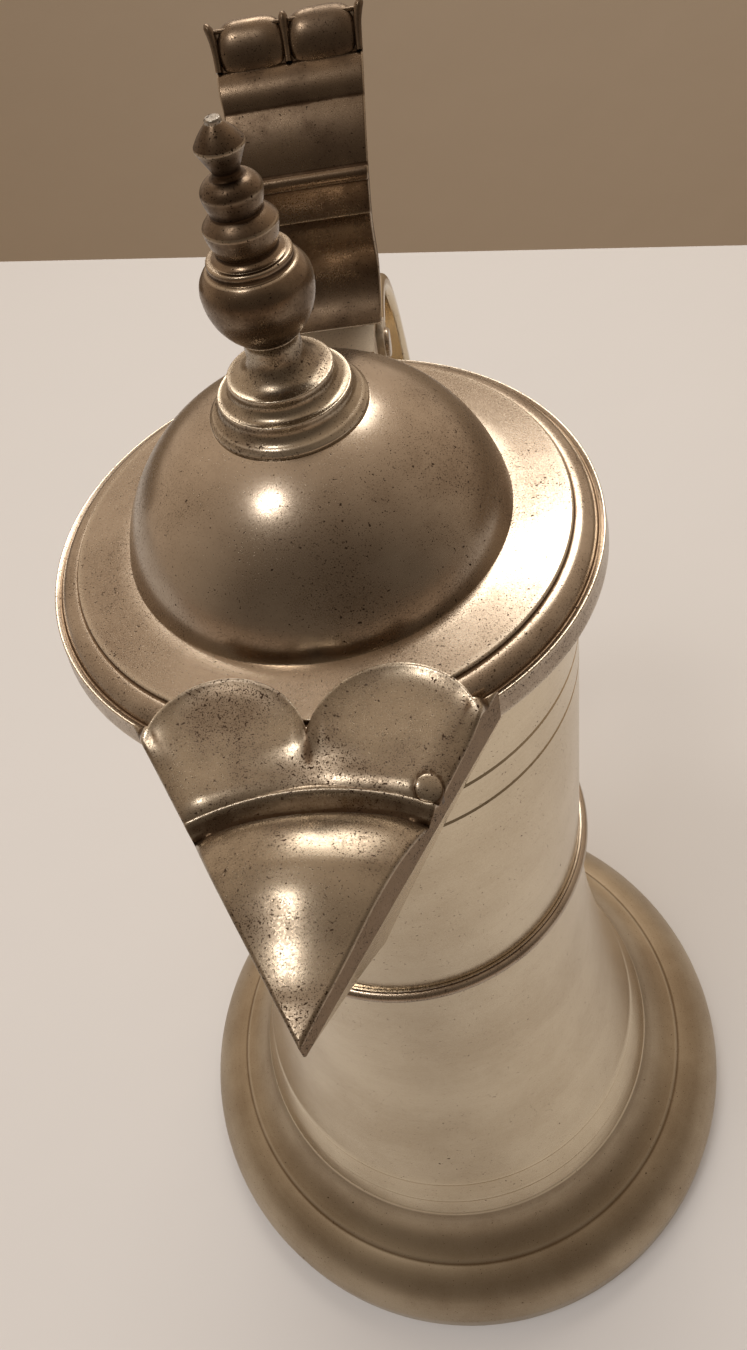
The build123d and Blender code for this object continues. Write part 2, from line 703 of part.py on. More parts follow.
def sloped_panel(inset):
    """Panel between bead and tip, its crown moved down and its sides inwards by inset."""
    crown_drop = math.sqrt(PANEL_CROWN_RADIUS**2 - PANEL_HALF_WIDTH**2) - PANEL_CROWN_RADIUS
    with BuildPart() as panel:
        for reach, rise in PANEL_CREST:
            crown = lid_edge + rise - inset
            left = (-PANEL_HALF_WIDTH, crown + crown_drop)
            right = (PANEL_HALF_WIDTH, crown + crown_drop)
            left_foot = (-PANEL_HALF_WIDTH, crown - COVER_TRIM_HEIGHT)
            right_foot = (PANEL_HALF_WIDTH, crown - COVER_TRIM_HEIGHT)
            with BuildSketch(Plane.XZ.offset(reach)):
                with BuildLine():
                    ThreePointArc(left, (0, crown), right)
                    Line(right, right_foot)
                    Line(right_foot, left_foot)
                    Line(left_foot, left)
                make_face()
        loft()
        with BuildSketch(Plane.XY.offset(MOUTH_HEIGHT)):
            Polygon(*beak_outline(inset, 0), align=None)
            with Locations((0, -PANEL_ROOT - PANEL_ROOT_RADIUS)):
                Circle(PANEL_ROOT_RADIUS - inset, mode=Mode.INTERSECT)
        extrude(amount=COVER_TRIM_HEIGHT, mode=Mode.INTERSECT)
    return panel.part


def lobe_pair(rise):
    """The two lobes between bead and dome, raised by rise."""
    swell_height = lid_edge + LOBE_RISE + rise - LOBE_SWELL[2]
    swell = scale(Sphere(1, mode=Mode.PRIVATE), by=LOBE_SWELL, mode=Mode.PRIVATE)
    with BuildPart() as lobes:
        for side in (-1, 1):
            add(Pos(side * LOBE_SWELL_OFFSET, -LOBE_SWELL_CENTRE, swell_height) * swell)
        with BuildSketch(Plane.XY.offset(MOUTH_HEIGHT)):
            with Locations((LOBE_OFFSET, -LOBE_CENTRE), (-LOBE_OFFSET, -LOBE_CENTRE)):
                Circle(LOBE_RADIUS)
            with Locations((0, -LOBE_CENTRE)):
                Rectangle(2 * LID_RADIUS, LOBE_SKIRT, align=(Align.CENTER, Align.MAX))
            Polygon(*beak_outline(0, 0), align=None, mode=Mode.INTERSECT)
            with Locations(bead_centre):
                Circle(BEAD_ARC_RADIUS, mode=Mode.SUBTRACT)
        extrude(amount=COVER_TRIM_HEIGHT, mode=Mode.INTERSECT)
    return lobes.part


with BuildPart() as cover_slab:
    with BuildSketch(Plane.XY.offset(MOUTH_HEIGHT)):
        Polygon(*beak_outline(0, cover_root), align=None)
    extrude(amount=cover_base - MOUTH_HEIGHT)
with BuildPart() as crescent_bead:
    with Locations((*bead_centre, lid_edge + BEAD_RISE - BEAD_RADIUS)):
        Torus(BEAD_ARC_RADIUS, BEAD_RADIUS)
    with BuildSketch(Plane.XY.offset(MOUTH_HEIGHT)):
        Polygon(*beak_outline(0, 0), align=None)
    extrude(amount=COVER_TRIM_HEIGHT, mode=Mode.INTERSECT)
cover_panel = sloped_panel(0)
panel_hollow = sloped_panel(COVER_WALL)
cover_lobes = lobe_pair(0)
plug_crown = lobe_pair(PLUG_PROUD)
with BuildPart() as beak_cover:
    add(cover_slab.part)
    add(cover_lobes)
    with BuildSketch(Plane.XY.offset(MOUTH_HEIGHT)):
        with Locations((plug_offset, -PLUG_REACH)):
            Circle(PLUG_RADIUS + SOLDER_GAP)
    extrude(amount=COVER_TRIM_HEIGHT, mode=Mode.SUBTRACT)
    add(crescent_bead.part)
    add(cover_panel)
    with BuildSketch(Plane.XY.offset(MOUTH_HEIGHT)):
        Polygon(*beak_outline(COVER_WALL, cover_root), align=None)
    extrude(amount=cover_base - COVER_ROOF - MOUTH_HEIGHT, mode=Mode.SUBTRACT)
    add(panel_hollow, mode=Mode.SUBTRACT)
    add(lid_outside.part, mode=Mode.SUBTRACT)
save(beak_cover.part, "beak_cover")

# Cover plug: closes the hole that the casting core left in one lobe
with BuildPart() as cover_plug:
    with BuildSketch(Plane.XY.offset(cover_base - COVER_ROOF)) as plug_section:
        with Locations((plug_offset, -PLUG_REACH)):
            Circle(PLUG_RADIUS)
    extrude(amount=COVER_TRIM_HEIGHT)
    add(plug_crown, mode=Mode.INTERSECT)
    extrude(plug_section.sketch, amount=COVER_ROOF + PLUG_PROUD)
    add(crescent_bead.part, mode=Mode.SUBTRACT)
save(cover_plug.part, "cover_plug")

# Lid knuckle: the hinge leaf on the lid's rim and the middle knuckle
leaf_top = hinge_height + KNUCKLE_RADIUS + LEAF_CLEARANCE + LEAF_THICKNESS
leaf_front_gap = HINGE_REACH - KNUCKLE_RADIUS - KNUCKLE_GAP
with BuildPart() as lid_knuckle:
    with BuildSketch(Plane.YZ):
        with Locations((LEAF_ROOT, leaf_top)):
            Rectangle(
                HINGE_REACH + LEAF_TAIL - LEAF_ROOT, LEAF_THICKNESS, align=(Align.MIN, Align.MAX)
            )
            Rectangle(
                leaf_front_gap - LEAF_ROOT, leaf_top - hinge_height, align=(Align.MIN, Align.MAX)
            )
    extrude(amount=LEAF_HALF_WIDTH, both=True)
    with BuildSketch(Plane.YZ):
        with Locations((HINGE_REACH, hinge_height)):
            Circle(KNUCKLE_RADIUS)
        with Locations((leaf_front_gap - KNUCKLE_GAP, leaf_top)):
            Rectangle(
                HINGE_REACH - leaf_front_gap + LEAF_TAIL,
                leaf_top - hinge_height,
                align=(Align.MIN, Align.MAX),
            )
    extrude(amount=LID_KNUCKLE_WIDTH / 2, both=True)
    add(lid_outside.part, mode=Mode.SUBTRACT)
    with BuildSketch(Plane.YZ):
        with Locations((HINGE_REACH, hinge_height)):
            Circle(PIN_RADIUS + PIN_CLEARANCE)
    extrude(amount=LID_KNUCKLE_WIDTH, both=True, mode=Mode.SUBTRACT)
save(lid_knuckle.part, "lid_knuckle")

# Thumbpiece: a moulded strap on the hinge leaf, its crest dressed with lobes and posts
thumb_plane = Plane(origin=(0, 0, leaf_top), x_dir=(0, 1, 0), z_dir=(1, 0, 0))


def behind(point, drop=0.0):
    """Point on the strap's back, one thickness behind a point of its front."""
    return (point[0] + THUMB_THICKNESS, point[1] - drop)


with BuildPart() as thumbpiece:
    with BuildSketch(thumb_plane):
        with BuildLine():
            nose_top = (THUMB_NOSE_TOP[0] + THUMB_STEP, THUMB_NOSE_TOP[1])
            band_top = (THUMB_BAND_TOP[0] + THUMB_STEP, THUMB_BAND_TOP[1])
            crest_back = behind(THUMB_CREST, THUMB_STEP)
            foot_back = (HINGE_REACH + LEAF_TAIL, THUMB_FOOT[1])
            ThreePointArc(THUMB_FOOT, THUMB_COVE, (THUMB_NOSE[0] + THUMB_STEP, THUMB_NOSE[1]))
            Line((THUMB_NOSE[0] + THUMB_STEP, THUMB_NOSE[1]), THUMB_NOSE)
            SagittaArc(THUMB_NOSE, THUMB_NOSE_TOP, THUMB_NOSE_HOLLOW)
            Line(THUMB_NOSE_TOP, nose_top)
            ThreePointArc(nose_top, THUMB_HOLLOW, THUMB_BAND)
            Line(THUMB_BAND, THUMB_BAND_TOP)
            Line(THUMB_BAND_TOP, band_top)
            Line(band_top, THUMB_CREST)
            Line(THUMB_CREST, crest_back)
            Spline(
                crest_back,
                behind(THUMB_BAND, THUMB_STEP),
                behind(THUMB_HOLLOW, THUMB_STEP),
                behind(THUMB_NOSE_TOP),
                behind(THUMB_NOSE),
                behind(THUMB_COVE),
                foot_back,
            )
            Line(foot_back, THUMB_FOOT)
        make_face()
    extrude(amount=THUMB_TOP_HALF_WIDTH, both=True)
    with BuildSketch(Plane.XZ.offset(-THUMB_FOOT[0])):
        Polygon(
            (-THUMB_ROOT_HALF_WIDTH, leaf_top),
            (THUMB_ROOT_HALF_WIDTH, leaf_top),
            (THUMB_TOP_HALF_WIDTH, leaf_top + THUMB_CREST[1]),
            (-THUMB_TOP_HALF_WIDTH, leaf_top + THUMB_CREST[1]),
            align=None,
        )
    extrude(amount=THUMB_CREST[0], both=True, mode=Mode.INTERSECT)
    zone_foot = Vector(0, band_top[0], leaf_top + band_top[1])
    zone_top = Vector(0, THUMB_CREST[0], leaf_top + THUMB_CREST[1])
    zone_rise = (zone_top - zone_foot).normalized()
    zone_depth = zone_rise.cross(Vector(1, 0, 0)) * -GADROON_DEPTH
    post_spacing = THUMB_TOP_HALF_WIDTH - POST_RADIUS
    gadroon = scale(
        Sphere(1, mode=Mode.PRIVATE),
        by=(GADROON_HALF_LENGTH, GADROON_RADIUS, GADROON_RADIUS),
        mode=Mode.PRIVATE,
    )
    gadroon_centre = (zone_foot + zone_top) / 2 + zone_depth
    for side in (-1, 1):
        add(Pos(side * post_spacing / 2, gadroon_centre.Y, gadroon_centre.Z) * gadroon)
    for offset_x in (-post_spacing, 0, post_spacing):
        post_foot = zone_foot + Vector(offset_x, 0, 0)
        with BuildSketch(Plane(origin=post_foot, x_dir=(1, 0, 0), z_dir=zone_rise)):
            Circle(POST_RADIUS)
        extrude(amount=(zone_top - zone_foot).length + POST_RISE)
save(thumbpiece.part, "thumbpiece")

# Handle bracket: a block on the neck that carries the two side knuckles
bracket_top = MOUTH_HEIGHT - BRACKET_DROP
knuckle_inside = LID_KNUCKLE_WIDTH / 2 + KNUCKLE_GAP
knuckle_outside = knuckle_inside + SIDE_KNUCKLE_WIDTH
ear_front = HINGE_REACH - KNUCKLE_RADIUS
with BuildPart() as handle_bracket:
    with BuildSketch(Plane.YZ):
        with BuildLine():
            Polyline(
                (neck_inner_radius, bracket_top - BRACKET_DEPTH),
                (neck_inner_radius, bracket_top),
                (BRACKET_BACK, bracket_top),
                (BRACKET_BACK, bracket_top - STRAP_THICKNESS),
            )
            SagittaArc(
                (BRACKET_BACK, bracket_top - STRAP_THICKNESS),
                (neck_inner_radius, bracket_top - BRACKET_DEPTH),
                -BRACKET_SWEEP,
            )
        make_face()
    extrude(amount=knuckle_outside, both=True)
    for side in (-1, 1):
        with BuildSketch(Plane.YZ.offset(side * knuckle_inside)):
            with Locations((HINGE_REACH, hinge_height)):
                Circle(KNUCKLE_RADIUS)
            with Locations((ear_front, bracket_top)):
                Rectangle(
                    BRACKET_BACK - ear_front,
                    hinge_height - bracket_top,
                    align=(Align.MIN, Align.MIN),
                )
        extrude(amount=side * SIDE_KNUCKLE_WIDTH)
    add(neck_outside.part, mode=Mode.SUBTRACT)
    with BuildSketch(Plane.YZ):
        with Locations((HINGE_REACH, hinge_height)):
            Circle(PIN_RADIUS + PIN_CLEARANCE)
    extrude(amount=knuckle_outside, both=True, mode=Mode.SUBTRACT)
save(handle_bracket.part, "handle_bracket")

# Hinge pin, and the peened caps on its ends
with BuildPart() as hinge_pin:
    with BuildSketch(Plane.YZ):
        with Locations((HINGE_REACH, hinge_height)):
            Circle(PIN_RADIUS)
    extrude(amount=knuckle_outside, both=True)
save(hinge_pin.part, "hinge_pin")

with BuildPart() as pin_caps:
    for side in (-1, 1):
        with BuildSketch(Plane.YZ.offset(side * knuckle_outside)):
            with Locations((HINGE_REACH, hinge_height)):
                Circle(PIN_HEAD_RADIUS)
        extrude(amount=side * PIN_HEAD_THICKNESS)
    outer_rims = pin_caps.edges().filter_by(GeomType.CIRCLE).sort_by(Axis.X)
    fillet([outer_rims[0], outer_rims[-1]], radius=PIN_HEAD_FILLET)
save(pin_caps.part, "pin_caps")

# Handle strap: a flat strap of even thickness, widest in the grip
strap_start = (BRACKET_BACK, bracket_top - STRAP_THICKNESS / 2)
strap_end = (STRAP_END_REACH, STRAP_END_HEIGHT)
with BuildPart() as handle_strap:
    with BuildSketch(Plane.YZ):
        with BuildLine() as strap_line:
            strap_level = (BRACKET_BACK + STRAP_LEVEL, strap_start[1])
            Bezier(strap_start, strap_level, STRAP_SHOULDER, STRAP_FALL, STRAP_BACK)
            strap_sweep = (STRAP_BACK[0], STRAP_BACK[1] - STRAP_SWEEP_DROP)
            Bezier(STRAP_BACK, strap_sweep, (STRAP_TURN_REACH, STRAP_END_HEIGHT), strap_end)
        trace(line_width=STRAP_THICKNESS)
    extrude(amount=STRAP_MIDDLE_HALF_WIDTH, both=True)
    with BuildSketch(Plane.XZ):
        with BuildLine():
            top_corner = (STRAP_TOP_HALF_WIDTH, bracket_top + STRAP_THICKNESS)
            end_corner = (STRAP_END_HALF_WIDTH, STRAP_END_HEIGHT - STRAP_THICKNESS)
            ThreePointArc(top_corner, (STRAP_MIDDLE_HALF_WIDTH, STRAP_BACK[1]), end_corner)
            Line(end_corner, (-end_corner[0], end_corner[1]))
            ThreePointArc(
                (-end_corner[0], end_corner[1]),
                (-STRAP_MIDDLE_HALF_WIDTH, STRAP_BACK[1]),
                (-top_corner[0], top_corner[1]),
            )
            Line((-top_corner[0], top_corner[1]), top_corner)
        make_face()
    extrude(amount=-STRAP_BACK[0] - STRAP_THICKNESS, mode=Mode.INTERSECT)
    strap_edges = handle_strap.edges()
    long_edges = strap_edges.filter_by(lambda edge: edge.length > 2 * STRAP_MIDDLE_HALF_WIDTH)
    fillet(long_edges, radius=STRAP_EDGE_FILLET)
save(handle_strap.part, "handle_strap")

# Handle foot: a flared oval boss that joins the strap's end to the body
with BuildPart() as handle_foot:
    with BuildSketch(Plane.XZ.offset(-HANDLE_FOOT_ROOT)):
        with Locations((0, STRAP_END_HEIGHT)):
            Ellipse(HANDLE_FOOT_HALF_WIDTH, HANDLE_FOOT_HALF_HEIGHT)
    with BuildSketch(Plane.XZ.offset(-STRAP_END_REACH)):
        with Locations((0, STRAP_END_HEIGHT)):
            Ellipse(STRAP_END_HALF_WIDTH, HANDLE_FOOT_TIP_HALF_HEIGHT)
    loft()
    with BuildSketch(Plane.XZ):
        with BuildLine():
            body_outline(-SOLDER_GAP)
        make_face()
    revolve(axis=Axis.Z, mode=Mode.SUBTRACT)
save(handle_foot.part, "handle_foot")
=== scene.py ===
"""Looks of the pewter jug: its dressed pieces, its finishes, and the light and camera around it.

Sizes of the jug are in millimetres in the frame of the model, +Z up, with the beak at -Y. Meshes,
lamps, camera and stage are in metres.
"""

import bisect
import enum
import logging
import math
from collections.abc import Callable, Sequence
from dataclasses import dataclass, field, replace
from functools import partial

import bpy
from mathutils import Matrix, Vector


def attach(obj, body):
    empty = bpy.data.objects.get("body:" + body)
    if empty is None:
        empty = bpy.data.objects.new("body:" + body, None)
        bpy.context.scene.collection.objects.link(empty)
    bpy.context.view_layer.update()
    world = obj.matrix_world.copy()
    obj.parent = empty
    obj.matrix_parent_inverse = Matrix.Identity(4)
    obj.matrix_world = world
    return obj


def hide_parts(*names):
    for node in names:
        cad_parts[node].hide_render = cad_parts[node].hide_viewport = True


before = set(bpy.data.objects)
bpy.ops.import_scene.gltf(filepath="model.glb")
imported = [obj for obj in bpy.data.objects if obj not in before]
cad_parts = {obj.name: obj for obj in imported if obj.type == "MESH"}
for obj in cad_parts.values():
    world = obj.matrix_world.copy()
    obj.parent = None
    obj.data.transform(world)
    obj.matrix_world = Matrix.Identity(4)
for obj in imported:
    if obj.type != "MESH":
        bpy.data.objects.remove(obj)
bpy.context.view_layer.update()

MM = 0.001
TINY = 1e-6
WEAR = "wear"
SMOOTH = {"interpolation_type": "SMOOTHSTEP"}
SIDE = Vector((1, 0, 0))

# Points round a turned piece and round a rod, and steps of a rounded edge
SEGMENTS = 180
ROD_SIDES = 28
EDGE_STEPS = 5
# Least length of a straight run's cuts, and their greatest number
CUT_LENGTH = 1.5
MOST_CUTS = 12
# Corners of an outline that turn by more than this are eased, in so many steps, over at most
# this share of the gap between two of them
SHARP_TURN = math.radians(17)
EASE_STEPS = 6
EASE_SHARE = 0.45
# Edges of a mesh that turn by more than this stay sharp
SHARP_EDGE = math.radians(50)
# Turn at which an eased corner is worn in full, and how much of the wear its ends lose
FULL_TURN = 0.9
END_LOSS = 0.6
# Wear of a strap's long edges and of its cast ornaments
LONG_EDGE_WEAR = 0.8
ORNAMENT_WEAR = 0.15

log = logging.getLogger("pewter_jug")

Pair = tuple[float, float]
Triple = tuple[float, float, float]
Point = Pair
Place = Triple
Faces = list[list[int]]
Piece = bpy.types.Object
Socket = bpy.types.NodeSocket
Material = bpy.types.Material
Adder = Callable[..., Socket]


class Ride(enum.Enum):
    """The two bodies that the hinge joins."""

    JUG = "jug"
    LID = "lid"


class Slot(enum.Enum):
    """The material slots of the record from which pieces are dressed."""

    TURNED = "turned_pewter"
    CAST = "cast_pewter"


def linear(colour: str) -> tuple[float, float, float, float]:
    """Turns an sRGB hex colour to linear light.

    Args:
        colour: Six hex digits after a hash sign.

    Returns:
        Red, green, blue and an alpha of one.
    """
    shares = [int(colour[place : place + 2], 16) / 255 for place in (1, 3, 5)]
    light = [s / 12.92 if s <= 0.04045 else ((s + 0.055) / 1.055) ** 2.4 for s in shares]
    return (*light, 1.0)


def smooth_step(value: float, low: float, high: float) -> float:
    """Rises smoothly from 0 at low to 1 at high."""
    share = max(0.0, min(1.0, (value - low) / (high - low)))
    return share * share * (3 - 2 * share)


def between(start: Point, end: Point, share: float) -> Point:
    """Point at a share of the way from start to end."""
    return (start[0] + (end[0] - start[0]) * share, start[1] + (end[1] - start[1]) * share)


def on_curve(start: Point, corner: Point, end: Point, share: float) -> Point:
    """Point at a share of the curve from start to end that leans towards a corner."""
    first, middle, last = (1 - share) ** 2, 2 * share * (1 - share), share**2
    return tuple(first * start[axis] + middle * corner[axis] + last * end[axis] for axis in (0, 1))


def turn(before: Point, corner: Point, after: Point) -> float:
    """Measures how an outline turns at a corner.

    Args:
        before: The point before the corner.
        corner: The corner.
        after: The point after it.

    Returns:
        The change of direction in radians, positive to the left.
    """
    first = (corner[0] - before[0], corner[1] - before[1])
    second = (after[0] - corner[0], after[1] - corner[1])
    cross = first[0] * second[1] - first[1] * second[0]
    return math.atan2(cross, first[0] * second[0] + first[1] * second[1])


def arc_points(start: Point, end: Point, bulge: float, steps: int) -> list[Point]:
    """Points of an arc after its start.

    Args:
        start: First end of the arc.
        end: Other end of the arc.
        bulge: Height of the arc over its chord, positive to the left of its direction.
        steps: Number of points.

    Returns:
        The points, of which the last is the end.
    """
    if not bulge:
        return [end]
    run = (end[0] - start[0], end[1] - start[1])
    chord = math.hypot(*run)
    radius = (chord**2 / 4 + bulge**2) / (2 * abs(bulge))
    lift = (bulge - math.copysign(radius, bulge)) / chord
    centre = ((start[0] + end[0]) / 2 - run[1] * lift, (start[1] + end[1]) / 2 + run[0] * lift)
    first = math.atan2(start[1] - centre[1], start[0] - centre[0])
    last = math.atan2(end[1] - centre[1], end[0] - centre[0])
    sweep = (last - first) % math.tau if bulge < 0 else -((first - last) % math.tau)
    angles = [first + sweep * step / steps for step in range(1, steps)]
    inner = [(centre[0] + radius * math.cos(a), centre[1] + radius * math.sin(a)) for a in angles]
    return [*inner, end]


def bulge_through(start: Point, middle: Point, end: Point) -> float:
    """Finds the arc from start to end that passes a middle point.

    Args:
        start: First end of the arc.
        middle: The point that it passes.
        end: Other end of the arc.

    Returns:
        The arc's bulge, as in arc_points.
    """
    run = (end[0] - start[0], end[1] - start[1])
    chord = math.hypot(*run)
    ahead = ((middle[0] - start[0]) * run[0] + (middle[1] - start[1]) * run[1]) / chord
    left = ((middle[1] - start[1]) * run[0] - (middle[0] - start[0]) * run[1]) / chord
    rise = (ahead**2 + left**2 - ahead * chord) / (2 * left)
    return rise + math.copysign(math.hypot(chord / 2, rise), left)


class Outline:
    """A closed outline, drawn point by point, whose sharp corners are eased."""

    def __init__(self, start: Point) -> None:
        """Starts the outline at a point."""
        self.points: list[Point] = [start]

    def line(self, *ends: Point) -> "Outline":
        """Adds straight runs, cut into short ones so that the wear can fade along them.

        Args:
            *ends: The end of each run.

        Returns:
            The outline.
        """
        for end in ends:
            start = self.points[-1]
            cuts = max(1, min(MOST_CUTS, int(math.dist(start, end) / CUT_LENGTH)))
            self.points += [between(start, end, cut / cuts) for cut in range(1, cuts + 1)]
        return self

    def curve(self, end: Point, bulge: float, steps: int) -> "Outline":
        """Adds an arc with a bulge to the left of its direction."""
        self.points += arc_points(self.points[-1], end, bulge, steps)
        return self

    def through(self, middle: Point, end: Point, steps: int) -> "Outline":
        """Adds an arc through a middle point."""
        return self.curve(end, bulge_through(self.points[-1], middle, end), steps)

    def eased(self, ease: float) -> tuple[list[Point], list[float]]:
        """Rounds the sharp corners and measures how the outline turns.

        Args:
            ease: Distance from a corner at which its rounding starts.

        Returns:
            The points, and for each a wear from -1 in hollows to 1 on edges.
        """
        points = self.points
        if math.dist(points[0], points[-1]) < TINY:
            points = points[:-1]
        count = len(points)
        reach = [0.0]
        for index in range(count):
            reach.append(reach[-1] + math.dist(points[index], points[(index + 1) % count]))
        total = reach[-1]

        def at(place: float) -> Point:
            """Finds a point of the outline.

            Args:
                place: Distance along the outline.

            Returns:
                The point.
            """
            place %= total
            index = min(bisect.bisect_right(reach, place) - 1, count - 1)
            share = (place - reach[index]) / (reach[index + 1] - reach[index])
            return between(points[index], points[(index + 1) % count], share)

        turns = [turn(points[i - 1], points[i], points[(i + 1) % count]) for i in range(count)]
        sharp = [index for index in range(count) if abs(turns[index]) > SHARP_TURN]
        sizes: dict[int, float] = {}
        for index in sharp:
            gaps = [abs(reach[index] - reach[other]) for other in sharp if other != index]
            sizes[index] = min([ease, *(min(gap, total - gap) * EASE_SHARE for gap in gaps)])
        rounded = [(reach[index] - size, reach[index] + size) for index, size in sizes.items()]
        winding = math.copysign(1.0, sum(turns))
        made: list[Point] = []
        wear: list[float] = []
        for index in range(count):
            if index in sizes:
                before, after = at(reach[index] - sizes[index]), at(reach[index] + sizes[index])
                most = min(1.0, abs(turns[index]) / FULL_TURN)
                for step in range(EASE_STEPS + 1):
                    share = step / EASE_STEPS
                    made.append(on_curve(before, points[index], after, share))
                    strength = most * (1 - abs(2 * share - 1) * END_LOSS)
                    wear.append(math.copysign(strength, turns[index] * winding))
            elif not any(
                low < reach[index] + lap < high for low, high in rounded for lap in (0.0, -total, total)
            ):
                made.append(points[index])
                wear.append(0.0)
        return made, wear


def mesh_piece(name: str, places: Sequence[Place], faces: Faces, wear: Sequence[float]) -> Piece:
    """Makes a smooth piece from places in millimetres.

    Args:
        name: Name of the piece.
        places: Its points.
        faces: Its faces, as indices of points.
        wear: For each point, -1 in hollows to 1 on worn edges; on the beak cover it also holds painted
            light.

    Returns:
        The new object, linked to the scene.
    """
    mesh = bpy.data.meshes.new(name)
    mesh.from_pydata([(x * MM, y * MM, z * MM) for x, y, z in places], [], faces)
    mesh.validate()
    mesh.attributes.new(WEAR, "FLOAT", "POINT").data.foreach_set("value", list(wear))
    mesh.shade_smooth()
    piece = bpy.data.objects.new(name, mesh)
    bpy.context.scene.collection.objects.link(piece)
    piece.modifiers.new("even_shading", "WEIGHTED_NORMAL").keep_sharp = True
    return piece


def mark_sharp(piece: Piece) -> None:
    """Keeps the piece's sharp edges sharp."""
    piece.data.set_sharp_from_angle(angle=SHARP_EDGE)


def ring_faces(low: int, high: int, count: int) -> Faces:
    """Joins two rings of points.

    Args:
        low: Index of the first point of one ring.
        high: Index of the first point of the next ring.
        count: Number of points in each ring.

    Returns:
        Faces as indices of points.
    """
    pairs = [(step, (step + 1) % count) for step in range(count)]
    return [[low + here, low + after, high + after, high + here] for here, after in pairs]


def skin_faces(rings: int, count: int) -> Faces:
    """Joins rings of points between two end points.

    Args:
        rings: Number of rings.
        count: Number of points in each ring.

    Returns:
        Faces as indices of points: the first end, the rings in order, the last end.
    """
    last = 1 + rings * count
    faces = [[0, 1 + (step + 1) % count, 1 + step] for step in range(count)]
    for low in range(1, last - count, count):
        faces += ring_faces(low, low + count, count)
    faces += [[last, last - count + step, last - count + (step + 1) % count] for step in range(count)]
    return faces


def lathe(name: str, outline: Outline, ease: float) -> Piece:
    """Turns a closed outline of (radius, height) points about the jug's axis.

    Args:
        name: Name of the piece.
        outline: The outline, anticlockwise seen with the axis on the left.
        ease: Size of the rounding of its corners.

    Returns:
        The turned piece.
    """
    points, wear = outline.eased(ease)
    turns = [(math.cos(math.tau * s / SEGMENTS), math.sin(math.tau * s / SEGMENTS)) for s in range(SEGMENTS)]
    places = [(radius * x, radius * y, height) for radius, height in points for x, y in turns]
    faces: Faces = []
    for index in range(len(points)):
        following = (index + 1) % len(points)
        faces += ring_faces(index * SEGMENTS, following * SEGMENTS, SEGMENTS)
    return mesh_piece(name, places, faces, [worn for worn in wear for _ in turns])


def strap(
    outline: Outline, half_width: Callable[[float], float], ease: float, rounding: float
) -> tuple[list[Place], Faces, list[float]]:
    """Carries an outline of (distance behind the axis, height) points across the jug.

    Args:
        outline: The outline of its side.
        half_width: Half its width at a height.
        ease: Size of the rounding of the outline's corners.
        rounding: Radius of its long edges.

    Returns:
        Its points, faces and wear, the same on both sides.
    """
    points, wear = outline.eased(ease)
    count = len(points)
    area = sum(
        points[index - 1][0] * points[index][1] - points[index][0] * points[index - 1][1]
        for index in range(count)
    )
    inward = math.copysign(1.0, area)
    normals: list[Point] = []
    for index in range(count):
        before, after = points[index - 1], points[(index + 1) % count]
        length = math.dist(before, after) or 1.0
        normals.append(
            (-(after[1] - before[1]) / length * inward, (after[0] - before[0]) / length * inward)
        )
    # Each slice has its share of the half width, and how far it draws in and back at the edge
    near: list[Place] = []
    for step in range(EDGE_STEPS + 1):
        angle = math.pi / 2 * step / EDGE_STEPS
        near.append((1.0, rounding * (1 - math.sin(angle)), rounding * (1 - math.cos(angle))))
    middle = [(quarter / 4, 0.0, 0.0) for quarter in range(3, -4, -1)]
    slices = [*near, *middle, *((-share, inset, back) for share, inset, back in reversed(near))]
    places: list[Place] = []
    spread: list[float] = []
    for share, inset, back in slices:
        at_edge = abs(share) == 1
        edge = math.sin(math.pi * min(inset / rounding, 1.0)) if at_edge else 0.0
        for (behind, height), normal, worn in zip(points, normals, wear):
            across = share * half_width(height) - (math.copysign(back, share) if at_edge else 0.0)
            places.append((across, behind + normal[0] * inset, height + normal[1] * inset))
            spread.append(max(-1.0, min(1.0, worn + LONG_EDGE_WEAR * edge)))
    last = (len(slices) - 1) * count
    faces: Faces = []
    for low in range(0, last, count):
        faces += ring_faces(low, low + count, count)
    for corners in side_faces(points):
        faces += [corners[::-1], [last + corner for corner in corners]]
    return places, faces, spread


def side_faces(points: Sequence[Point]) -> Faces:
    """Fills a long outline with triangles between its front and its back.

    Args:
        points: The outline, which starts at the foot, climbs the front and comes down the back.

    Returns:
        Triangles as indices of points, in the outline's direction.
    """
    top = max(range(len(points)), key=lambda index: points[index][1])
    front, back = list(range(top + 1)), list(range(len(points) - 1, top, -1))
    made: Faces = []
    while len(front) > 1 or len(back) > 1:
        up_front = math.dist(points[front[1]], points[back[0]]) if len(front) > 1 else math.inf
        up_back = math.dist(points[front[0]], points[back[1]]) if len(back) > 1 else math.inf
        if up_front <= up_back:
            made.append([front[0], front[1], back[0]])
            front = front[1:]
        else:
            made.append([front[0], back[1], back[0]])
            back = back[1:]
    return made


def rod(
    stations: Sequence[tuple[Vector, float, float]], side: Vector, front: Vector
) -> tuple[list[Place], Faces]:
    """Wraps a closed skin around stations along a line.

    Args:
        stations: Centre, half size along the side and half size along the front of each ring;
            the first and the last are drawn to points.
        side: First direction of the rings.
        front: Second direction of the rings.

    Returns:
        Its points and faces.
    """
    places: list[Place] = [tuple(stations[0][0])]
    for centre, wide, deep in stations[1:-1]:
        for step in range(ROD_SIDES):
            angle = math.tau * step / ROD_SIDES
            places.append(tuple(centre + side * (wide * math.cos(angle)) + front * (deep * math.sin(angle))))
    places.append(tuple(stations[-1][0]))
    return places, skin_faces(len(stations) - 2, ROD_SIDES)


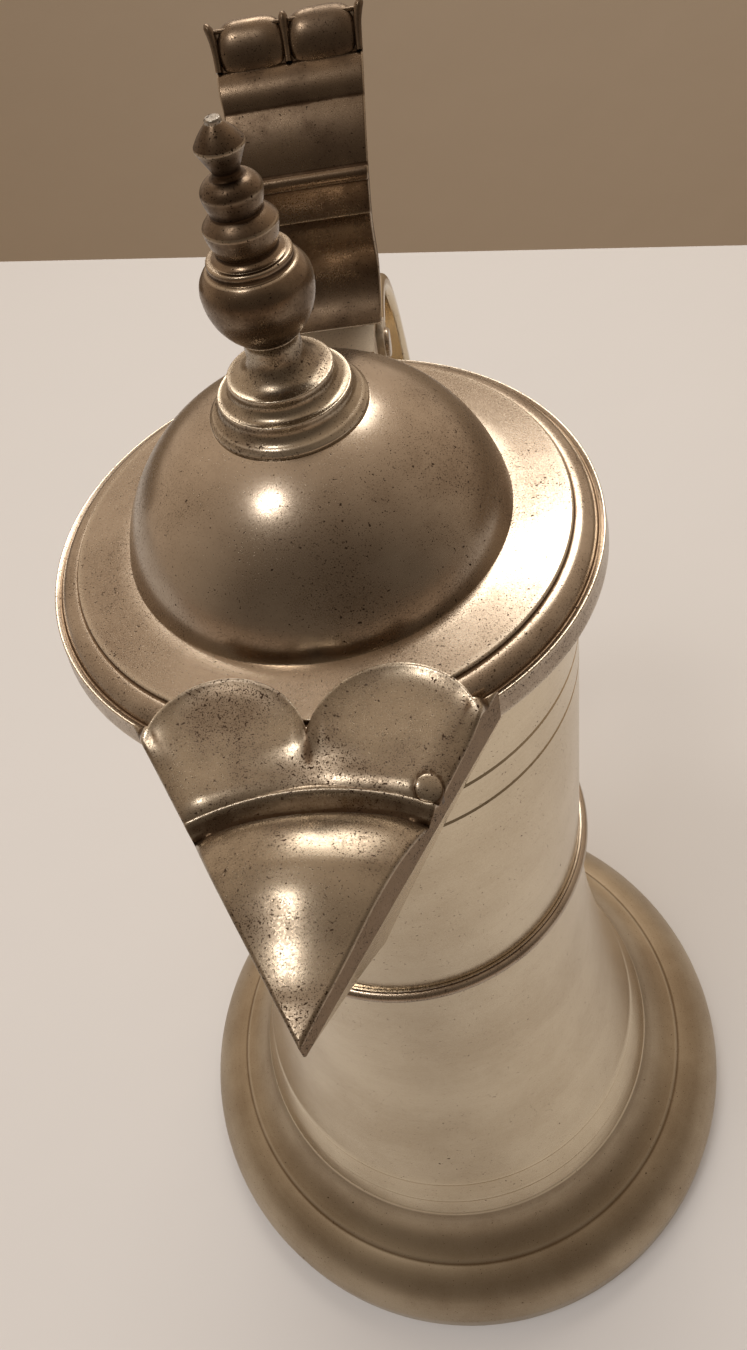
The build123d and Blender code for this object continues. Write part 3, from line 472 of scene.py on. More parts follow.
def add_node(
    tree: bpy.types.NodeTree,
    kind: str,
    links: dict[object, object] | Sequence[object],
    output: int | str = 0,
    **settings: object,
) -> Socket | None:
    """Adds a shader node.

    Args:
        tree: Tree that the node joins.
        kind: Type name of the node after ShaderNode.
        links: Values of its inputs by name or number, or in a row from the first input on, each
            plain or the output that it is linked to.
        output: Name or number of the output to give back.
        **settings: Properties of the node.

    Returns:
        The output, or nothing from a node that has none.
    """
    made = tree.nodes.new("ShaderNode" + kind)
    for name, value in settings.items():
        setattr(made, name, value)
    for socket, value in links.items() if isinstance(links, dict) else enumerate(links):
        if isinstance(value, Socket):
            tree.links.new(value, made.inputs[socket])
        else:
            made.inputs[socket].default_value = value
    return made.outputs[output] if made.outputs else None


def new_material(name: str) -> tuple[Material, Adder]:
    """Makes a material without nodes.

    Args:
        name: Name of the material.

    Returns:
        The material, and add_node for its tree.
    """
    made = bpy.data.materials.new(name)
    made.use_nodes = True
    made.node_tree.nodes.clear()
    return made, partial(add_node, made.node_tree)


# Limits of the noise between which clouds of film, patches of pits and the fine grain set in
CLOUD_EDGES = (0.30, 0.72)
PATCH_EDGES = (0.40, 0.64)
GRAIN_EDGES = (0.3, 0.7)
# Two limits of a pattern and what they give: film in the tool's lines, in the grain and in
# hollows, shine on worn edges, and roughness in pits
LINE_FILM = (0.30, 0.75, -0.03, 0.05)
GRAIN_FILM = (*GRAIN_EDGES, -0.08, 0.08)
HOLLOW_FILM = (0.0, -0.7, 0.0, 0.85)
EDGE_SHINE = (0.05, 0.7, 0.0, 0.55)
PIT_DULLNESS = (0.0, 1.0, 0.0, 0.2)
# Noise level over which pits show, how far a thick cover of them lowers it everywhere and again
# in patches, and how soft a pit's rim is
PIT_LEVEL = 0.74
PIT_THINNING = (0.10, 0.12)
PIT_RIM = 0.05
# How much wider the large pits are, and how much rarer
LARGE_PIT = 2.4
LARGE_PIT_MARGIN = 0.05
# Width of the metal's grain, which is finer in the real jug and as coarse here as it needs to show
GRAIN_MM = 0.35
# Roughness of every noise, width of the metal's soft dents and depth of its pits
NOISE_ROUGHNESS = 0.6
DENT_WIDTH_MM = 11.0
PIT_DEPTH_MM = 0.008


@dataclass(frozen=True)
class Pewter:
    """Worn pewter: a soft grey tin alloy that was turned or cast, then polished by hand and use.

    Attributes:
        name: Name of the material.
        metal: Colour of the polished metal.
        tarnish: Colour of the brown film in hollows and clouds.
        bright: Colour of rubbed edges.
        pit: Colour of the corrosion in the pits.
        roughness: Lowest and highest roughness.
        film: Share of the surface that the film clouds, from 0 to 1.
        cloud_mm: Size of the clouds.
        pit_mm: Size of the pits.
        pit_share: How thickly the pits lie, from 0 to 1.
        line_mm: Spacing of the tool's lines, wider than the real one so that they show.
        line_depth_mm: Depth of the tool's lines.
        dent_mm: Depth of the soft unevenness of the surface.
        grain: How much the fine grain of the metal changes its roughness.
    """

    name: str
    metal: str
    tarnish: str
    bright: str
    pit: str
    roughness: Pair
    film: float
    cloud_mm: float
    pit_mm: float
    pit_share: float
    line_mm: float = 0.4
    line_depth_mm: float = 0.0018
    dent_mm: float = 0.05
    grain: float = 0.03

    def tool_track(self, add: Adder, in_mm: Socket) -> Socket:
        """Adds the places along which the tool's lines run, around the jug's axis.

        Args:
            add: Function that adds a node to the material.
            in_mm: Place on the piece in millimetres.

        Returns:
            The place on the track.
        """
        flat = add("VectorMath", (in_mm, (1, 1, 0)), operation="MULTIPLY")
        radius = add("VectorMath", (flat,), output=1, operation="LENGTH")
        around = add("VectorMath", (flat,), operation="NORMALIZE")
        along = add("Math", (radius, add("SeparateXYZ", (in_mm,), output="Z")), operation="ADD")
        along = add("Math", (along, self.line_mm), operation="DIVIDE")
        return add("VectorMath", (around, add("CombineXYZ", {"Z": along})), operation="ADD")

    def pits(self, add: Adder, clouds: Socket, grains: Sequence[Socket]) -> Socket:
        """Adds small dark pits in patches, with a few larger ones between them.

        Args:
            add: Function that adds a node to the material.
            clouds: Noise whose clouds hold the patches.
            grains: Noise of the small and of the large pits.

        Returns:
            How deep in a pit a place lies, from 0 to 1.
        """
        drop, patch_drop = PIT_THINNING
        thin = PIT_LEVEL - drop * self.pit_share
        level = add("MapRange", (clouds, *PATCH_EDGES, thin, thin - patch_drop * self.pit_share), **SMOOTH)
        found = []
        for grain, margin in zip(grains, (0.0, LARGE_PIT_MARGIN)):
            above = add("Math", (grain, level), operation="SUBTRACT")
            found.append(add("MapRange", (above, margin, margin + PIT_RIM, 0.0, 1.0), **SMOOTH))
        return add("Math", found, operation="MAXIMUM")

    def material(self) -> Material:
        """Builds the metal's nodes.

        Returns:
            The material.
        """
        made, add = new_material(self.name)
        place = add("TexCoord", {}, output="Object")
        in_mm = add("VectorMath", {0: place, "Scale": 1 / MM}, operation="SCALE")
        # On the beak cover the wear attribute also carries a painted highlight on the crest and painted
        # shade in the cove
        worn = add("Attribute", {}, output="Fac", attribute_name=WEAR)
        # Place, size and detail of the clouds, lines, grain, dents, small pits and large pits
        patterns = (
            (in_mm, self.cloud_mm, 5.0),
            (self.tool_track(add, in_mm), 1.0, 2.0),
            (in_mm, GRAIN_MM, 3.0),
            (in_mm, DENT_WIDTH_MM, 2.0),
            (in_mm, self.pit_mm, 1.0),
            (in_mm, LARGE_PIT * self.pit_mm, 1.0),
        )
        noises = []
        for place, size, detail in patterns:
            links = {"Vector": place, "Scale": 1 / size, "Detail": detail, "Roughness": NOISE_ROUGHNESS}
            noises.append(add("TexNoise", links))
        clouds, lines, grain, dents, *pit_grains = noises
        pits = self.pits(add, clouds, pit_grains)
        # The brown film lies in clouds and in the tool's lines, gathers in hollows and is rubbed
        # off edges
        film = add("MapRange", (clouds, *CLOUD_EDGES, 0.0, self.film), **SMOOTH)
        for pattern, limits in ((lines, LINE_FILM), (grain, GRAIN_FILM), (worn, HOLLOW_FILM)):
            film = add("Math", (film, add("MapRange", (pattern, *limits), **SMOOTH)), operation="ADD")
        shine = add("MapRange", (worn, *EDGE_SHINE), **SMOOTH)
        tone = linear(self.metal)
        for share, colour in ((film, self.tarnish), (shine, self.bright), (pits, self.pit)):
            tone = add("Mix", {0: share, 6: tone, 7: linear(colour)}, output=2, data_type="RGBA")
        rough = add("MapRange", (film, 0.0, 1.0, *self.roughness), **SMOOTH)
        grain_dullness = (*GRAIN_EDGES, -self.grain, self.grain)
        for pattern, limits in ((grain, grain_dullness), (pits, PIT_DULLNESS)):
            rough = add("Math", (rough, add("MapRange", (pattern, *limits), **SMOOTH)), operation="ADD")
        surface = None
        for height, depth in ((dents, self.dent_mm), (lines, self.line_depth_mm), (pits, -PIT_DEPTH_MM)):
            links = {"Strength": 1.0, "Distance": abs(depth) * MM, "Height": height}
            if surface:
                links["Normal"] = surface
            surface = add("Bump", links, invert=depth < 0)
        finish = {"Metallic": 1.0, "Base Color": tone, "Roughness": rough, "Normal": surface}
        add("OutputMaterial", (add("BsdfPrincipled", finish),))
        return made


# Pewter of body, neck and handle: polished often, so the film is thin and the lines of the tool
# are faint. It mirrors the cloth softly.
BODY_PEWTER = Pewter(
    name="pewter_turned_polished",
    metal="#d8cab1",
    tarnish="#a38f70",
    bright="#eee2ca",
    pit="#5d4d3d",
    roughness=(0.20, 0.33),
    film=0.38,
    cloud_mm=38.0,
    pit_mm=0.5,
    pit_share=0.15,
    line_mm=0.5,
    line_depth_mm=0.0014,
    dent_mm=0.03,
    grain=0.02,
)
# The foot stands in dust and damp, so the same pewter has gone dull and browner there
FOOT_PEWTER = replace(
    BODY_PEWTER,
    name="pewter_turned_dull",
    metal="#bbad97",
    tarnish="#85725a",
    roughness=(0.40, 0.50),
    film=0.55,
)
# Turned pewter of lid and waist ring: handled and wiped less evenly, with brown film and fine
# dark pits
LID_PEWTER = Pewter(
    name="pewter_turned_filmed",
    metal="#bfb2a2",
    tarnish="#7d6a57",
    bright="#e6dccb",
    pit="#3f3126",
    roughness=(0.22, 0.35),
    film=0.60,
    cloud_mm=22.0,
    pit_mm=0.22,
    pit_share=0.55,
    dent_mm=0.03,
    grain=0.04,
)
# Cast pewter of the cover and the finial's base: its skin has many small pits and a darker film,
# and its edges are rubbed bright
CAST_PEWTER = Pewter(
    name="pewter_cast_pitted",
    metal="#b3a795",
    tarnish="#675645",
    bright="#e4d9c8",
    pit="#3f3026",
    roughness=(0.23, 0.39),
    film=0.72,
    cloud_mm=15.0,
    pit_mm=0.21,
    pit_share=0.72,
    line_mm=0.5,
)
# Filed sides of the cover: never wiped, so they stay brown and dull
FILED_PEWTER = replace(
    CAST_PEWTER,
    name="pewter_filed_brown",
    metal="#a5917a",
    tarnish="#87725a",
    roughness=(0.38, 0.52),
    film=0.80,
    cloud_mm=6.0,
)
# Cast pewter of knop, spindle and thumbpiece: seldom wiped, so a dark brown film covers it but
# for the edges that fingers reach
DARK_PEWTER = Pewter(
    name="pewter_cast_dark",
    metal="#857462",
    tarnish="#46372a",
    bright="#cdbfab",
    pit="#261b13",
    roughness=(0.24, 0.44),
    film=0.75,
    cloud_mm=9.0,
    pit_mm=0.22,
    pit_share=0.50,
    line_depth_mm=0.0030,
)
# Pewter of the soldered hinge leaves: scraped bright and left dull, so they look pale all round
SCRAPED_PEWTER = Pewter(
    name="pewter_scraped_dull",
    metal="#d9cdbb",
    tarnish="#a89a87",
    bright="#ece4d6",
    pit="#66594b",
    roughness=(0.50, 0.60),
    film=0.35,
    cloud_mm=8.0,
    pit_mm=0.3,
    pit_share=0.3,
    line_mm=0.3,
    line_depth_mm=0.0040,
    grain=0.04,
)
# Forged iron of the hinge's pin and of the finial's rod, washer and nut: grey, dull and a little
# rough from the hammer
FORGED_IRON = Pewter(
    name="iron_forged",
    metal="#b3ada4",
    tarnish="#3d352f",
    bright="#c9c4bc",
    pit="#2b1d14",
    roughness=(0.30, 0.55),
    film=0.60,
    cloud_mm=7.0,
    pit_mm=0.35,
    pit_share=0.8,
    line_mm=0.6,
    line_depth_mm=0.0030,
    dent_mm=0.03,
    grain=0.05,
)


@dataclass
class Finishes:
    """The materials of the jug, made once each."""

    body: Material = field(default_factory=BODY_PEWTER.material)
    foot: Material = field(default_factory=FOOT_PEWTER.material)
    lid: Material = field(default_factory=LID_PEWTER.material)
    cast: Material = field(default_factory=CAST_PEWTER.material)
    filed: Material = field(default_factory=FILED_PEWTER.material)
    dark: Material = field(default_factory=DARK_PEWTER.material)
    scraped: Material = field(default_factory=SCRAPED_PEWTER.material)
    iron: Material = field(default_factory=FORGED_IRON.material)


def dress(piece: Piece, finish: Material, ride: Ride, slot: Slot, *nodes: str) -> None:
    """Gives a piece its finish and its body, and hides the nodes that it stands for.

    Args:
        piece: The piece.
        finish: Its material.
        ride: Body that it moves with.
        slot: Slot of the record that it is finished from; not used.
        *nodes: Nodes of the model that it replaces.
    """
    piece.data.materials.append(finish)
    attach(piece, ride.value)
    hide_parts(*nodes)
    log.info("%s rides on %s, %s", piece.name, ride.value, finish.name)


def keep(finish: Material, *nodes: str) -> None:
    """Gives nodes whose shape is right their finish.

    Args:
        finish: The material.
        *nodes: Nodes of the model.
    """
    for name in nodes:
        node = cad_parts[name]
        node.data.materials.clear()
        node.data.materials.append(finish)
        log.info("%s keeps its shape, %s", name, finish.name)


@dataclass
class Foot:
    """Stepped foot with its base plate."""

    radius: float = 87.5
    edge_height: float = 8.0
    shoulder: Point = (74.0, 22.0)
    step: float = 0.8
    top: Point = (62.6, 36.0)
    bulge: float = 2.5
    hollow: float = 2.0
    wall: float = 2.6

    def ring(self) -> Piece:
        """Builds the hollow stepped ring.

        Returns:
            The ring.
        """
        shoulder, top = self.shoulder, self.top
        step = (shoulder[0] - self.step, shoulder[1] + self.step)
        inner = self.radius - self.wall
        outline = Outline((inner, 0)).line((self.radius, 0), (self.radius, self.edge_height))
        outline.curve(shoulder, -self.bulge, steps=30).line(step).curve(top, self.hollow, steps=24)
        outline.line((top[0] - self.wall, top[1]))
        outline.curve((step[0] - self.wall, step[1]), -self.hollow, steps=24)
        outline.line((shoulder[0] - self.wall, shoulder[1]))
        outline.curve((inner, self.edge_height), self.bulge, steps=30).line((inner, 0))
        return lathe("foot", outline, ease=1.3)

    def build(self, finishes: Finishes) -> None:
        """Builds and dresses the foot."""
        dress(self.ring(), finishes.foot, Ride.JUG, Slot.TURNED, "foot_ring")
        keep(finishes.foot, "base_plate", "base_plug")


@dataclass
class Body:
    """Flared body, waist ring, neck and rim."""

    foot_top: Point = (62.6, 36.0)
    band: Point = (57.7, 52.2)
    waist: Point = (42.7, 159.5)
    flare: float = 3.5
    wall: float = 2.2
    turned_lines: tuple[float, ...] = (42.0, 50.5)
    line_half: float = 0.45
    line_depth: float = 0.22
    ring_half: float = 2.3
    ring_seat: float = 0.05
    ring_lift: float = 0.55
    bead_half: float = 1.5
    bead_height: float = 1.4

    def shell(self) -> Piece:
        """Builds the flared shell with its turned lines.

        Returns:
            The shell.
        """
        foot, band, waist, wall = self.foot_top, self.band, self.waist, self.wall
        outline = Outline((foot[0] - wall, foot[1])).line(foot)
        for height in self.turned_lines:
            radius = foot[0] + (band[0] - foot[0]) * (height - foot[1]) / (band[1] - foot[1])
            outline.line((radius, height - self.line_half))
            outline.line((radius - self.line_depth, height), (radius, height + self.line_half))
        outline.line(band).curve(waist, self.flare, steps=60)
        outline.line((waist[0] - wall, waist[1]))
        outline.curve((band[0] - wall, band[1]), -self.flare, steps=60)
        outline.line((foot[0] - wall, foot[1]))
        return lathe("lower_shell", outline, ease=0.3)

    def ring(self) -> Piece:
        """Builds the bead over the seam at the waist.

        Returns:
            The ring.
        """
        radius, height = self.waist
        seam, lift = radius + self.ring_seat, radius + self.ring_lift
        foot, top = height - self.ring_half, height + self.ring_half
        outline = Outline((seam, foot)).line((lift, foot), (lift, height - self.bead_half))
        outline.through((lift + self.bead_height, height), (lift, height + self.bead_half), steps=16)
        outline.line((lift, top), (seam, top), (seam, foot))
        return lathe("waist_bead", outline, ease=0.08)

    def build(self, finishes: Finishes) -> None:
        """Builds and dresses body and neck."""
        dress(self.shell(), finishes.body, Ride.JUG, Slot.TURNED, "lower_body")
        dress(self.ring(), finishes.lid, Ride.JUG, Slot.TURNED, "waist_ring")
        keep(finishes.body, "neck", "rim_ring", "spout")


@dataclass
class Lid:
    """Flange, bezel and dome of the lid."""

    mouth: float = 256.3
    edge: float = 260.8
    radius: float = 48.1
    edge_radius: float = 47.5
    bead: Point = (46.3, 42.4)
    bead_rise: float = 1.9
    bead_bulge: float = 0.95
    groove: float = 0.7
    step_rise: float = 2.8
    seat: Point = (34.0, 264.6)
    hole: float = 30.4
    underside: float = 39.65
    dome_foot: float = 32.7
    dome_shoulder: Point = (24.6, 279.2)
    dome_top: Point = (12.4, 286.9)
    dome_wall: float = 1.9
    shoulder_wall: float = 1.35
    rod_hole: float = 1.05

    def flange(self) -> Piece:
        """Builds the flange with its groove, bead and step.

        Returns:
            The flange.
        """
        edge, seat = self.edge, self.seat
        outline = Outline((self.underside, self.mouth)).line((self.radius, self.mouth))
        outline.line((self.edge_radius, edge), (self.bead[0], edge - self.groove))
        outline.curve((self.bead[1], edge + self.bead_rise), -self.bead_bulge, steps=20)
        outline.line((self.bead[1], edge + self.step_rise), seat, (self.hole, seat[1]))
        outline.line((self.hole, edge), (self.underside, edge), (self.underside, self.mouth))
        return lathe("lid_rim", outline, ease=0.45)

    def dome(self) -> Piece:
        """Builds the domed shell.

        Returns:
            The shell.
        """
        seat, top, wall = self.seat[1], self.dome_top, self.dome_wall
        inner = (self.dome_foot - wall, seat)
        shoulder = (self.dome_shoulder[0] - self.shoulder_wall, self.dome_shoulder[1] - self.shoulder_wall)
        outline = Outline(inner).line((self.dome_foot, seat)).through(self.dome_shoulder, top, steps=70)
        outline.line((self.rod_hole, top[1]), (self.rod_hole, top[1] - wall))
        outline.line((top[0] - wall, top[1] - wall)).through(shoulder, inner, steps=40)
        return lathe("dome_shell", outline, ease=0.15)

    def build(self, finishes: Finishes) -> None:
        """Builds and dresses the lid."""
        dress(self.flange(), finishes.lid, Ride.LID, Slot.TURNED, "lid_flange")
        dress(self.dome(), finishes.lid, Ride.LID, Slot.TURNED, "lid_dome")
        keep(finishes.lid, "lid_bezel")


@dataclass
class Finial:
    """Turned finial: base, knop and spindle, on an iron rod.

    Each turned part has a first point and runs upwards, with the radius and height over the dome
    at their end and their bulge.
    """

    foot: float = 286.9
    rod_hole: float = 1.05
    base: tuple[Triple, ...] = (
        (12.4, 0.0, 0.0),
        (12.4, 0.7, 0.0),
        (11.7, 1.4, 0.0),
        (10.3, 3.5, 0.45),
        (10.3, 4.2, 0.0),
        (8.1, 6.4, 0.9),
        (8.1, 7.1, 0.0),
        (4.2, 11.3, 1.35),
        (4.5, 13.4, 0.15),
    )
    knop: tuple[Triple, ...] = (
        (4.5, 13.4, 0.0),
        (8.0, 20.6, -0.9),
        (6.4, 24.1, -0.5),
        (5.9, 24.6, 0.15),
        (5.9, 25.6, -0.15),
    )
    spindle: tuple[Triple, ...] = (
        (5.4, 25.6, 0.0),
        (4.2, 26.4, 0.15),
        (5.2, 30.0, -0.15),
        (3.4, 31.6, -0.15),
        (4.2, 34.4, -0.15),
        (2.1, 36.2, -0.45),
        (1.75, 36.8, 0.0),
        (3.4, 40.1, 0.0),
        (1.1, 42.8, -0.15),
    )

    def turned(self, name: str, profile: Sequence[Triple]) -> Piece:
        """Turns one part of the finial.

        Args:
            name: Name of the piece.
            profile: Its first point and its runs.

        Returns:
            The turned piece.
        """
        low = self.foot + profile[0][1]
        outline = Outline((self.rod_hole, low)).line((profile[0][0], low))
        for radius, height, bulge in profile[1:]:
            outline.curve((radius, self.foot + height), bulge, steps=12)
        outline.line((self.rod_hole, outline.points[-1][1]), (self.rod_hole, low))
        return lathe(name, outline, ease=0.28)

    def build(self, finishes: Finishes) -> None:
        """Builds and dresses the finial."""
        base = self.turned("finial_foot", self.base)
        knop = self.turned("finial_bowl", self.knop)
        spindle = self.turned("finial_spire", self.spindle)
        dress(base, finishes.cast, Ride.LID, Slot.CAST, "finial_base")
        dress(knop, finishes.dark, Ride.LID, Slot.CAST, "finial_knop")
        dress(spindle, finishes.dark, Ride.LID, Slot.CAST, "finial_spindle")
        keep(finishes.iron, "finial_rod", "finial_washer", "finial_nut")


@dataclass
class BeakCover:
    """Cast cover of the beak: two lobes, a crescent bead and a pillow that slopes to the tip.

    Reach is the distance before the jug's axis, across the distance to the right of the middle.
    Heights are over the lid's edge but for that of the edge and of the bottom.
    """

    # The triangle that the cover fills, up to the lid's rim, and the corner where it meets the rim
    edge: float = 260.8
    bottom: float = 256.3
    reach: float = 88.6
    slope: float = 0.56
    lid_radius: float = 48.1
    corner: Point = (27.52, 39.45)
    # Its least height, its walls with the worn lip above them, and the rounding of its top's edge
    slab: float = -1.6
    wall: float = 2.4
    wall_wear: float = -1.0
    wall_lip: float = 0.5
    rounding: float = 0.55
    rounding_share: float = 0.9
    # Upward share of the direction of a face up to which it counts as a filed side
    side_tilt: float = 0.15
    # Half the width over which the hollow under the pillow sets in
    hollow_edge: float = 0.15
    # Radius and rise of the steps by which the underside clears the lid's flange
    tucks: tuple[Pair, ...] = ((48.0, 3.0), (41.6, 2.7))
    tuck_run: float = 0.6
    # Pillow: reach and height of its middle, and the radius that crowns it across
    panel: tuple[Point, ...] = (
        (55.6, -3.5),
        (56.3, -0.9),
        (57.0, 1.3),
        (58.6, 3.0),
        (61.5, 4.3),
        (65.5, 4.7),
        (68.0, 4.35),
        (70.5, 3.75),
        (73.5, 2.75),
        (76.5, 1.7),
        (79.5, 0.85),
        (81.5, 0.4),
        (83.5, 0.1),
        (86.0, -0.5),
        (88.6, -1.0),
        (94.0, -1.0),
    )
    panel_crown: float = 31.0
    # Crescent: reach and radius of the crease before the pillow and of the bead's crest, with the
    # crest's height, its fall to the sides, its rounding, the cove before and the valley behind it
    crease: Pair = (56.3, 59.3)
    bead: Pair = (53.45, 50.0)
    bead_rise: float = 1.8
    bead_fall: float = 1.1
    bead_half: float = 17.0
    crest_round: float = 0.22
    cove_floor: float = -1.2
    cove_curve: float = 1.2
    valley: Pair = (1.1, 0.30)
    # Lobes: place and radius of their circles, and a level at a reach, which slopes to the front
    lobe_circle: Triple = (12.6, 48.2, 13.1)
    lobe_level: Point = (41.0, 3.5)
    lobe_slope: float = 0.14
    # Dip between the lobes, the lip along their backs, and the falls to the front, sides and back
    lobe_dip: Pair = (1.0, 8.0)
    lobe_dip_reach: Pair = (46.0, 52.0)
    lobe_lip: Pair = (1.35, 2.3)
    lobe_lip_fade: Pair = (44.5, 49.0)
    shoulder: Pair = (3.0, 1.0)
    side_fall: Pair = (5.5, 1.1)
    outer_drop: Pair = (1.4, 1.6)
    rim_from: float = 22.0
    back_until: float = 50.0
    # Plug: place and radius, width and depth of its seam, how proud it stands and how deep it goes,
    # its rings and sides, its wear, the film at its rim, where that starts and how its top falls
    plug: Triple = (16.95, 54.2, 2.05)
    plug_seam: Pair = (0.17, 0.18)
    plug_proud: float = 0.14
    plug_depth: float = 1.4
    plug_rings: int = 12
    plug_sides: int = 72
    plug_wear: float = 0.25
    plug_rim_film: float = 1.2
    plug_rim: float = 0.8
    plug_power: int = 8
    # Painted highlight along the crest and its width, painted shade in the cove and its edges, wear
    # of the cover's rim, and wear for each millimetre by which a place stands out of those so many
    # rows or columns away
    crest_painted_highlight: float = 0.65
    crest_highlight_width: float = 0.3
    cove_painted_shade: float = 0.40
    cove_shade_edge: Pair = (0.3, 0.9)
    crease_shade_edge: Pair = (-0.1, 0.2)
    rim_wear: float = 0.5
    wear_gain: float = 2.4
    wear_span: int = 3
    # Rows of points: columns across, and the number, crowding and run of the rows on the pillow,
    # in the cove, behind the crest and over the lobes
    columns: int = 104
    tip_row: float = 88.3
    pillow_rows: Triple = (76, 0.85, 32.0)
    cove_rows: Triple = (20, 1.8, 2.85)
    crest_rows: Triple = (26, 1.8, 3.6)
    lobe_rows: Pair = (40, 1.35)
    # Bow of the rows, how much it grows from the crease on and over which run, the run from the
    # tip over which it sets in, the half width at which it is measured, and the passes that find a
    # row's own half width
    bow: Pair = (2.4, 0.47)
    bow_growth: float = 2.8
    bow_start: float = 20.0
    bow_half: float = 16.7
    bow_passes: int = 20

    def half_width(self, reach: float) -> float:
        """Half the cover's width at a distance from the axis."""
        return (self.reach - reach) * self.slope

    def side_gap(self, across: float, reach: float) -> float:
        """Distance of a place from the nearer side."""
        return (self.half_width(reach) - abs(across)) * math.cos(math.atan(self.slope))

    def behind(self, arc: Pair, across: float, reach: float) -> float:
        """Distance of a place behind an arc, which has its reach in the middle and its radius."""
        return math.hypot(across, reach - arc[0] - arc[1]) - arc[1]

    def seam(self, across: float, reach: float) -> float:
        """How near a place is to the seam round the plug in the right lobe, from 0 to 1."""
        off_seam = math.hypot(across - self.plug[0], reach - self.plug[1]) - self.plug[2]
        return math.exp(-((off_seam / self.plug_seam[0]) ** 2))

    def crown(self, reach: float) -> float:
        """Height of the pillow's middle, on a smooth curve through its points.

        Args:
            reach: Distance from the axis.

        Returns:
            The height.
        """
        points = self.panel
        index = max(1, min(len(points) - 3, bisect.bisect_right([p[0] for p in points], reach) - 1))
        before, start, end, after = points[index - 1 : index + 3]
        share = (reach - start[0]) / (end[0] - start[0])
        first = (end[1] - before[1]) / (end[0] - before[0]) * (end[0] - start[0])
        last = (after[1] - start[1]) / (after[0] - start[0]) * (end[0] - start[0])
        cube, square = share**3, share**2
        return (
            (2 * cube - 3 * square + 1) * start[1]
            + (cube - 2 * square + share) * first
            + (3 * square - 2 * cube) * end[1]
            + (cube - square) * last
        )

    def lobes(self, across: float, reach: float, behind: float) -> float:
        """Height of the two lobes.

        Args:
            across: Distance from the middle.
            reach: Distance from the jug's axis.
            behind: Distance behind the crescent's crest.

        Returns:
            The height.
        """
        offset, centre, radius = self.lobe_circle
        inside = radius - math.hypot(abs(across) - offset, min(0.0, reach - centre))
        lip_rise, lip_width = self.lobe_lip
        lip = lip_rise * math.exp(-max(inside, 0.0) / lip_width)
        lip *= 1 - smooth_step(reach, *self.lobe_lip_fade)
        plateau = self.lobe_level[1] - self.lobe_slope * (reach - self.lobe_level[0])
        depth, width = self.lobe_dip
        plateau -= depth * math.exp(-((across / width) ** 2)) * smooth_step(reach, *self.lobe_dip_reach)
        width, depth = self.side_fall
        side = (self.half_width(reach) - abs(across)) / width
        fall = depth * (1 - min(side, 1.0)) ** 2
        width, depth = self.shoulder
        front = depth * max(0.0, 1 - behind / width) ** 2
        depth, width = self.outer_drop
        outside = depth * smooth_step(-inside, 0.0, width)
        return plateau + lip - fall - front - outside

    def height(self, across: float, reach: float) -> float:
        """Height of the top before its edges are eased.

        Args:
            across: Distance from the middle.
            reach: Distance from the jug's axis.

        Returns:
            The height.
        """
        behind = self.behind(self.bead, across, reach)
        to_crease = self.behind(self.crease, across, reach)
        crest = self.bead_rise - self.bead_fall * (across / self.bead_half) ** 2
        if to_crease < 0:
            drop = self.panel_crown - math.sqrt(self.panel_crown**2 - across**2)
            return max(self.crown(reach) - drop, self.slab)
        off_crest = math.hypot(behind, self.crest_round) - self.crest_round
        if behind < 0:
            share = min(1.0, off_crest / max(to_crease - behind, TINY))
            return self.cove_floor + (crest - self.cove_floor) * (1 - share) ** self.cove_curve
        depth, width = self.valley
        ridge = crest - depth * (1 - math.exp(-off_crest / width))
        return max(ridge, self.lobes(across, reach, behind), self.slab)

    def back(self, across: float) -> float:
        """Reach of the cover's back edge, which follows the lobes and then the lid's rim.

        Args:
            across: Distance from the middle.

        Returns:
            The reach.
        """
        offset, centre, radius = self.lobe_circle
        aside = abs(abs(across) - offset)
        rim = math.sqrt(self.lid_radius**2 - across**2)
        if aside >= radius:
            return rim
        lobe = centre - math.sqrt(radius**2 - aside**2)
        return min(lobe, rim) if abs(across) > self.rim_from else lobe

    def top(self, across: float, reach: float) -> float:
        """Height of the top with its eased sides and back, and the plug's seam.

        Args:
            across: Distance from the middle.
            reach: Distance from the jug's axis.

        Returns:
            The height.
        """
        height = self.height(across, reach) - self.plug_seam[1] * self.seam(across, reach)
        gaps = [self.side_gap(across, reach)]
        if reach < self.back_until:
            gaps.append(reach - self.back(across))
        for gap in gaps:
            if gap < self.rounding:
                inside = self.rounding - max(gap, 0.0)
                drop = self.rounding - math.sqrt(max(self.rounding**2 - inside**2, 0.0))
                height -= drop * self.rounding_share
        return height

    def underside(self, across: float, reach: float) -> float:
        """Height of the underside, which is hollow under the pillow.

        Args:
            across: Distance from the middle.
            reach: Distance from the jug's axis.

        Returns:
            The height.
        """
        gap = min(self.side_gap(across, reach), -self.behind(self.crease, across, reach))
        floor = self.bottom - self.edge
        for radius, rise in self.tucks:
            floor += rise * smooth_step(radius - math.hypot(across, reach), 0.0, self.tuck_run)
        depth = smooth_step(gap - self.wall, -self.hollow_edge, self.hollow_edge)
        return floor + depth * max(self.height(across, reach) - self.wall - floor, 0.0)

    def crescent_painted_light_and_seam(self, across: float, reach: float) -> float:
        """Painted highlight on the crest, painted shade in the cove and film in the plug's seam.

        Args:
            across: Distance from the middle.
            reach: Distance from the jug's axis.

        Returns:
            The wear that it adds.
        """
        behind = self.behind(self.bead, across, reach)
        to_crease = self.behind(self.crease, across, reach)
        # Painted shade in the cove and a painted highlight along the crest, less the filmed seam
        cove = smooth_step(-behind, *self.cove_shade_edge) * smooth_step(to_crease, *self.crease_shade_edge)
        shine = self.crest_painted_highlight * math.exp(-((behind / self.crest_highlight_width) ** 2)) - self.cove_painted_shade * cove
        return shine - self.seam(across, reach)

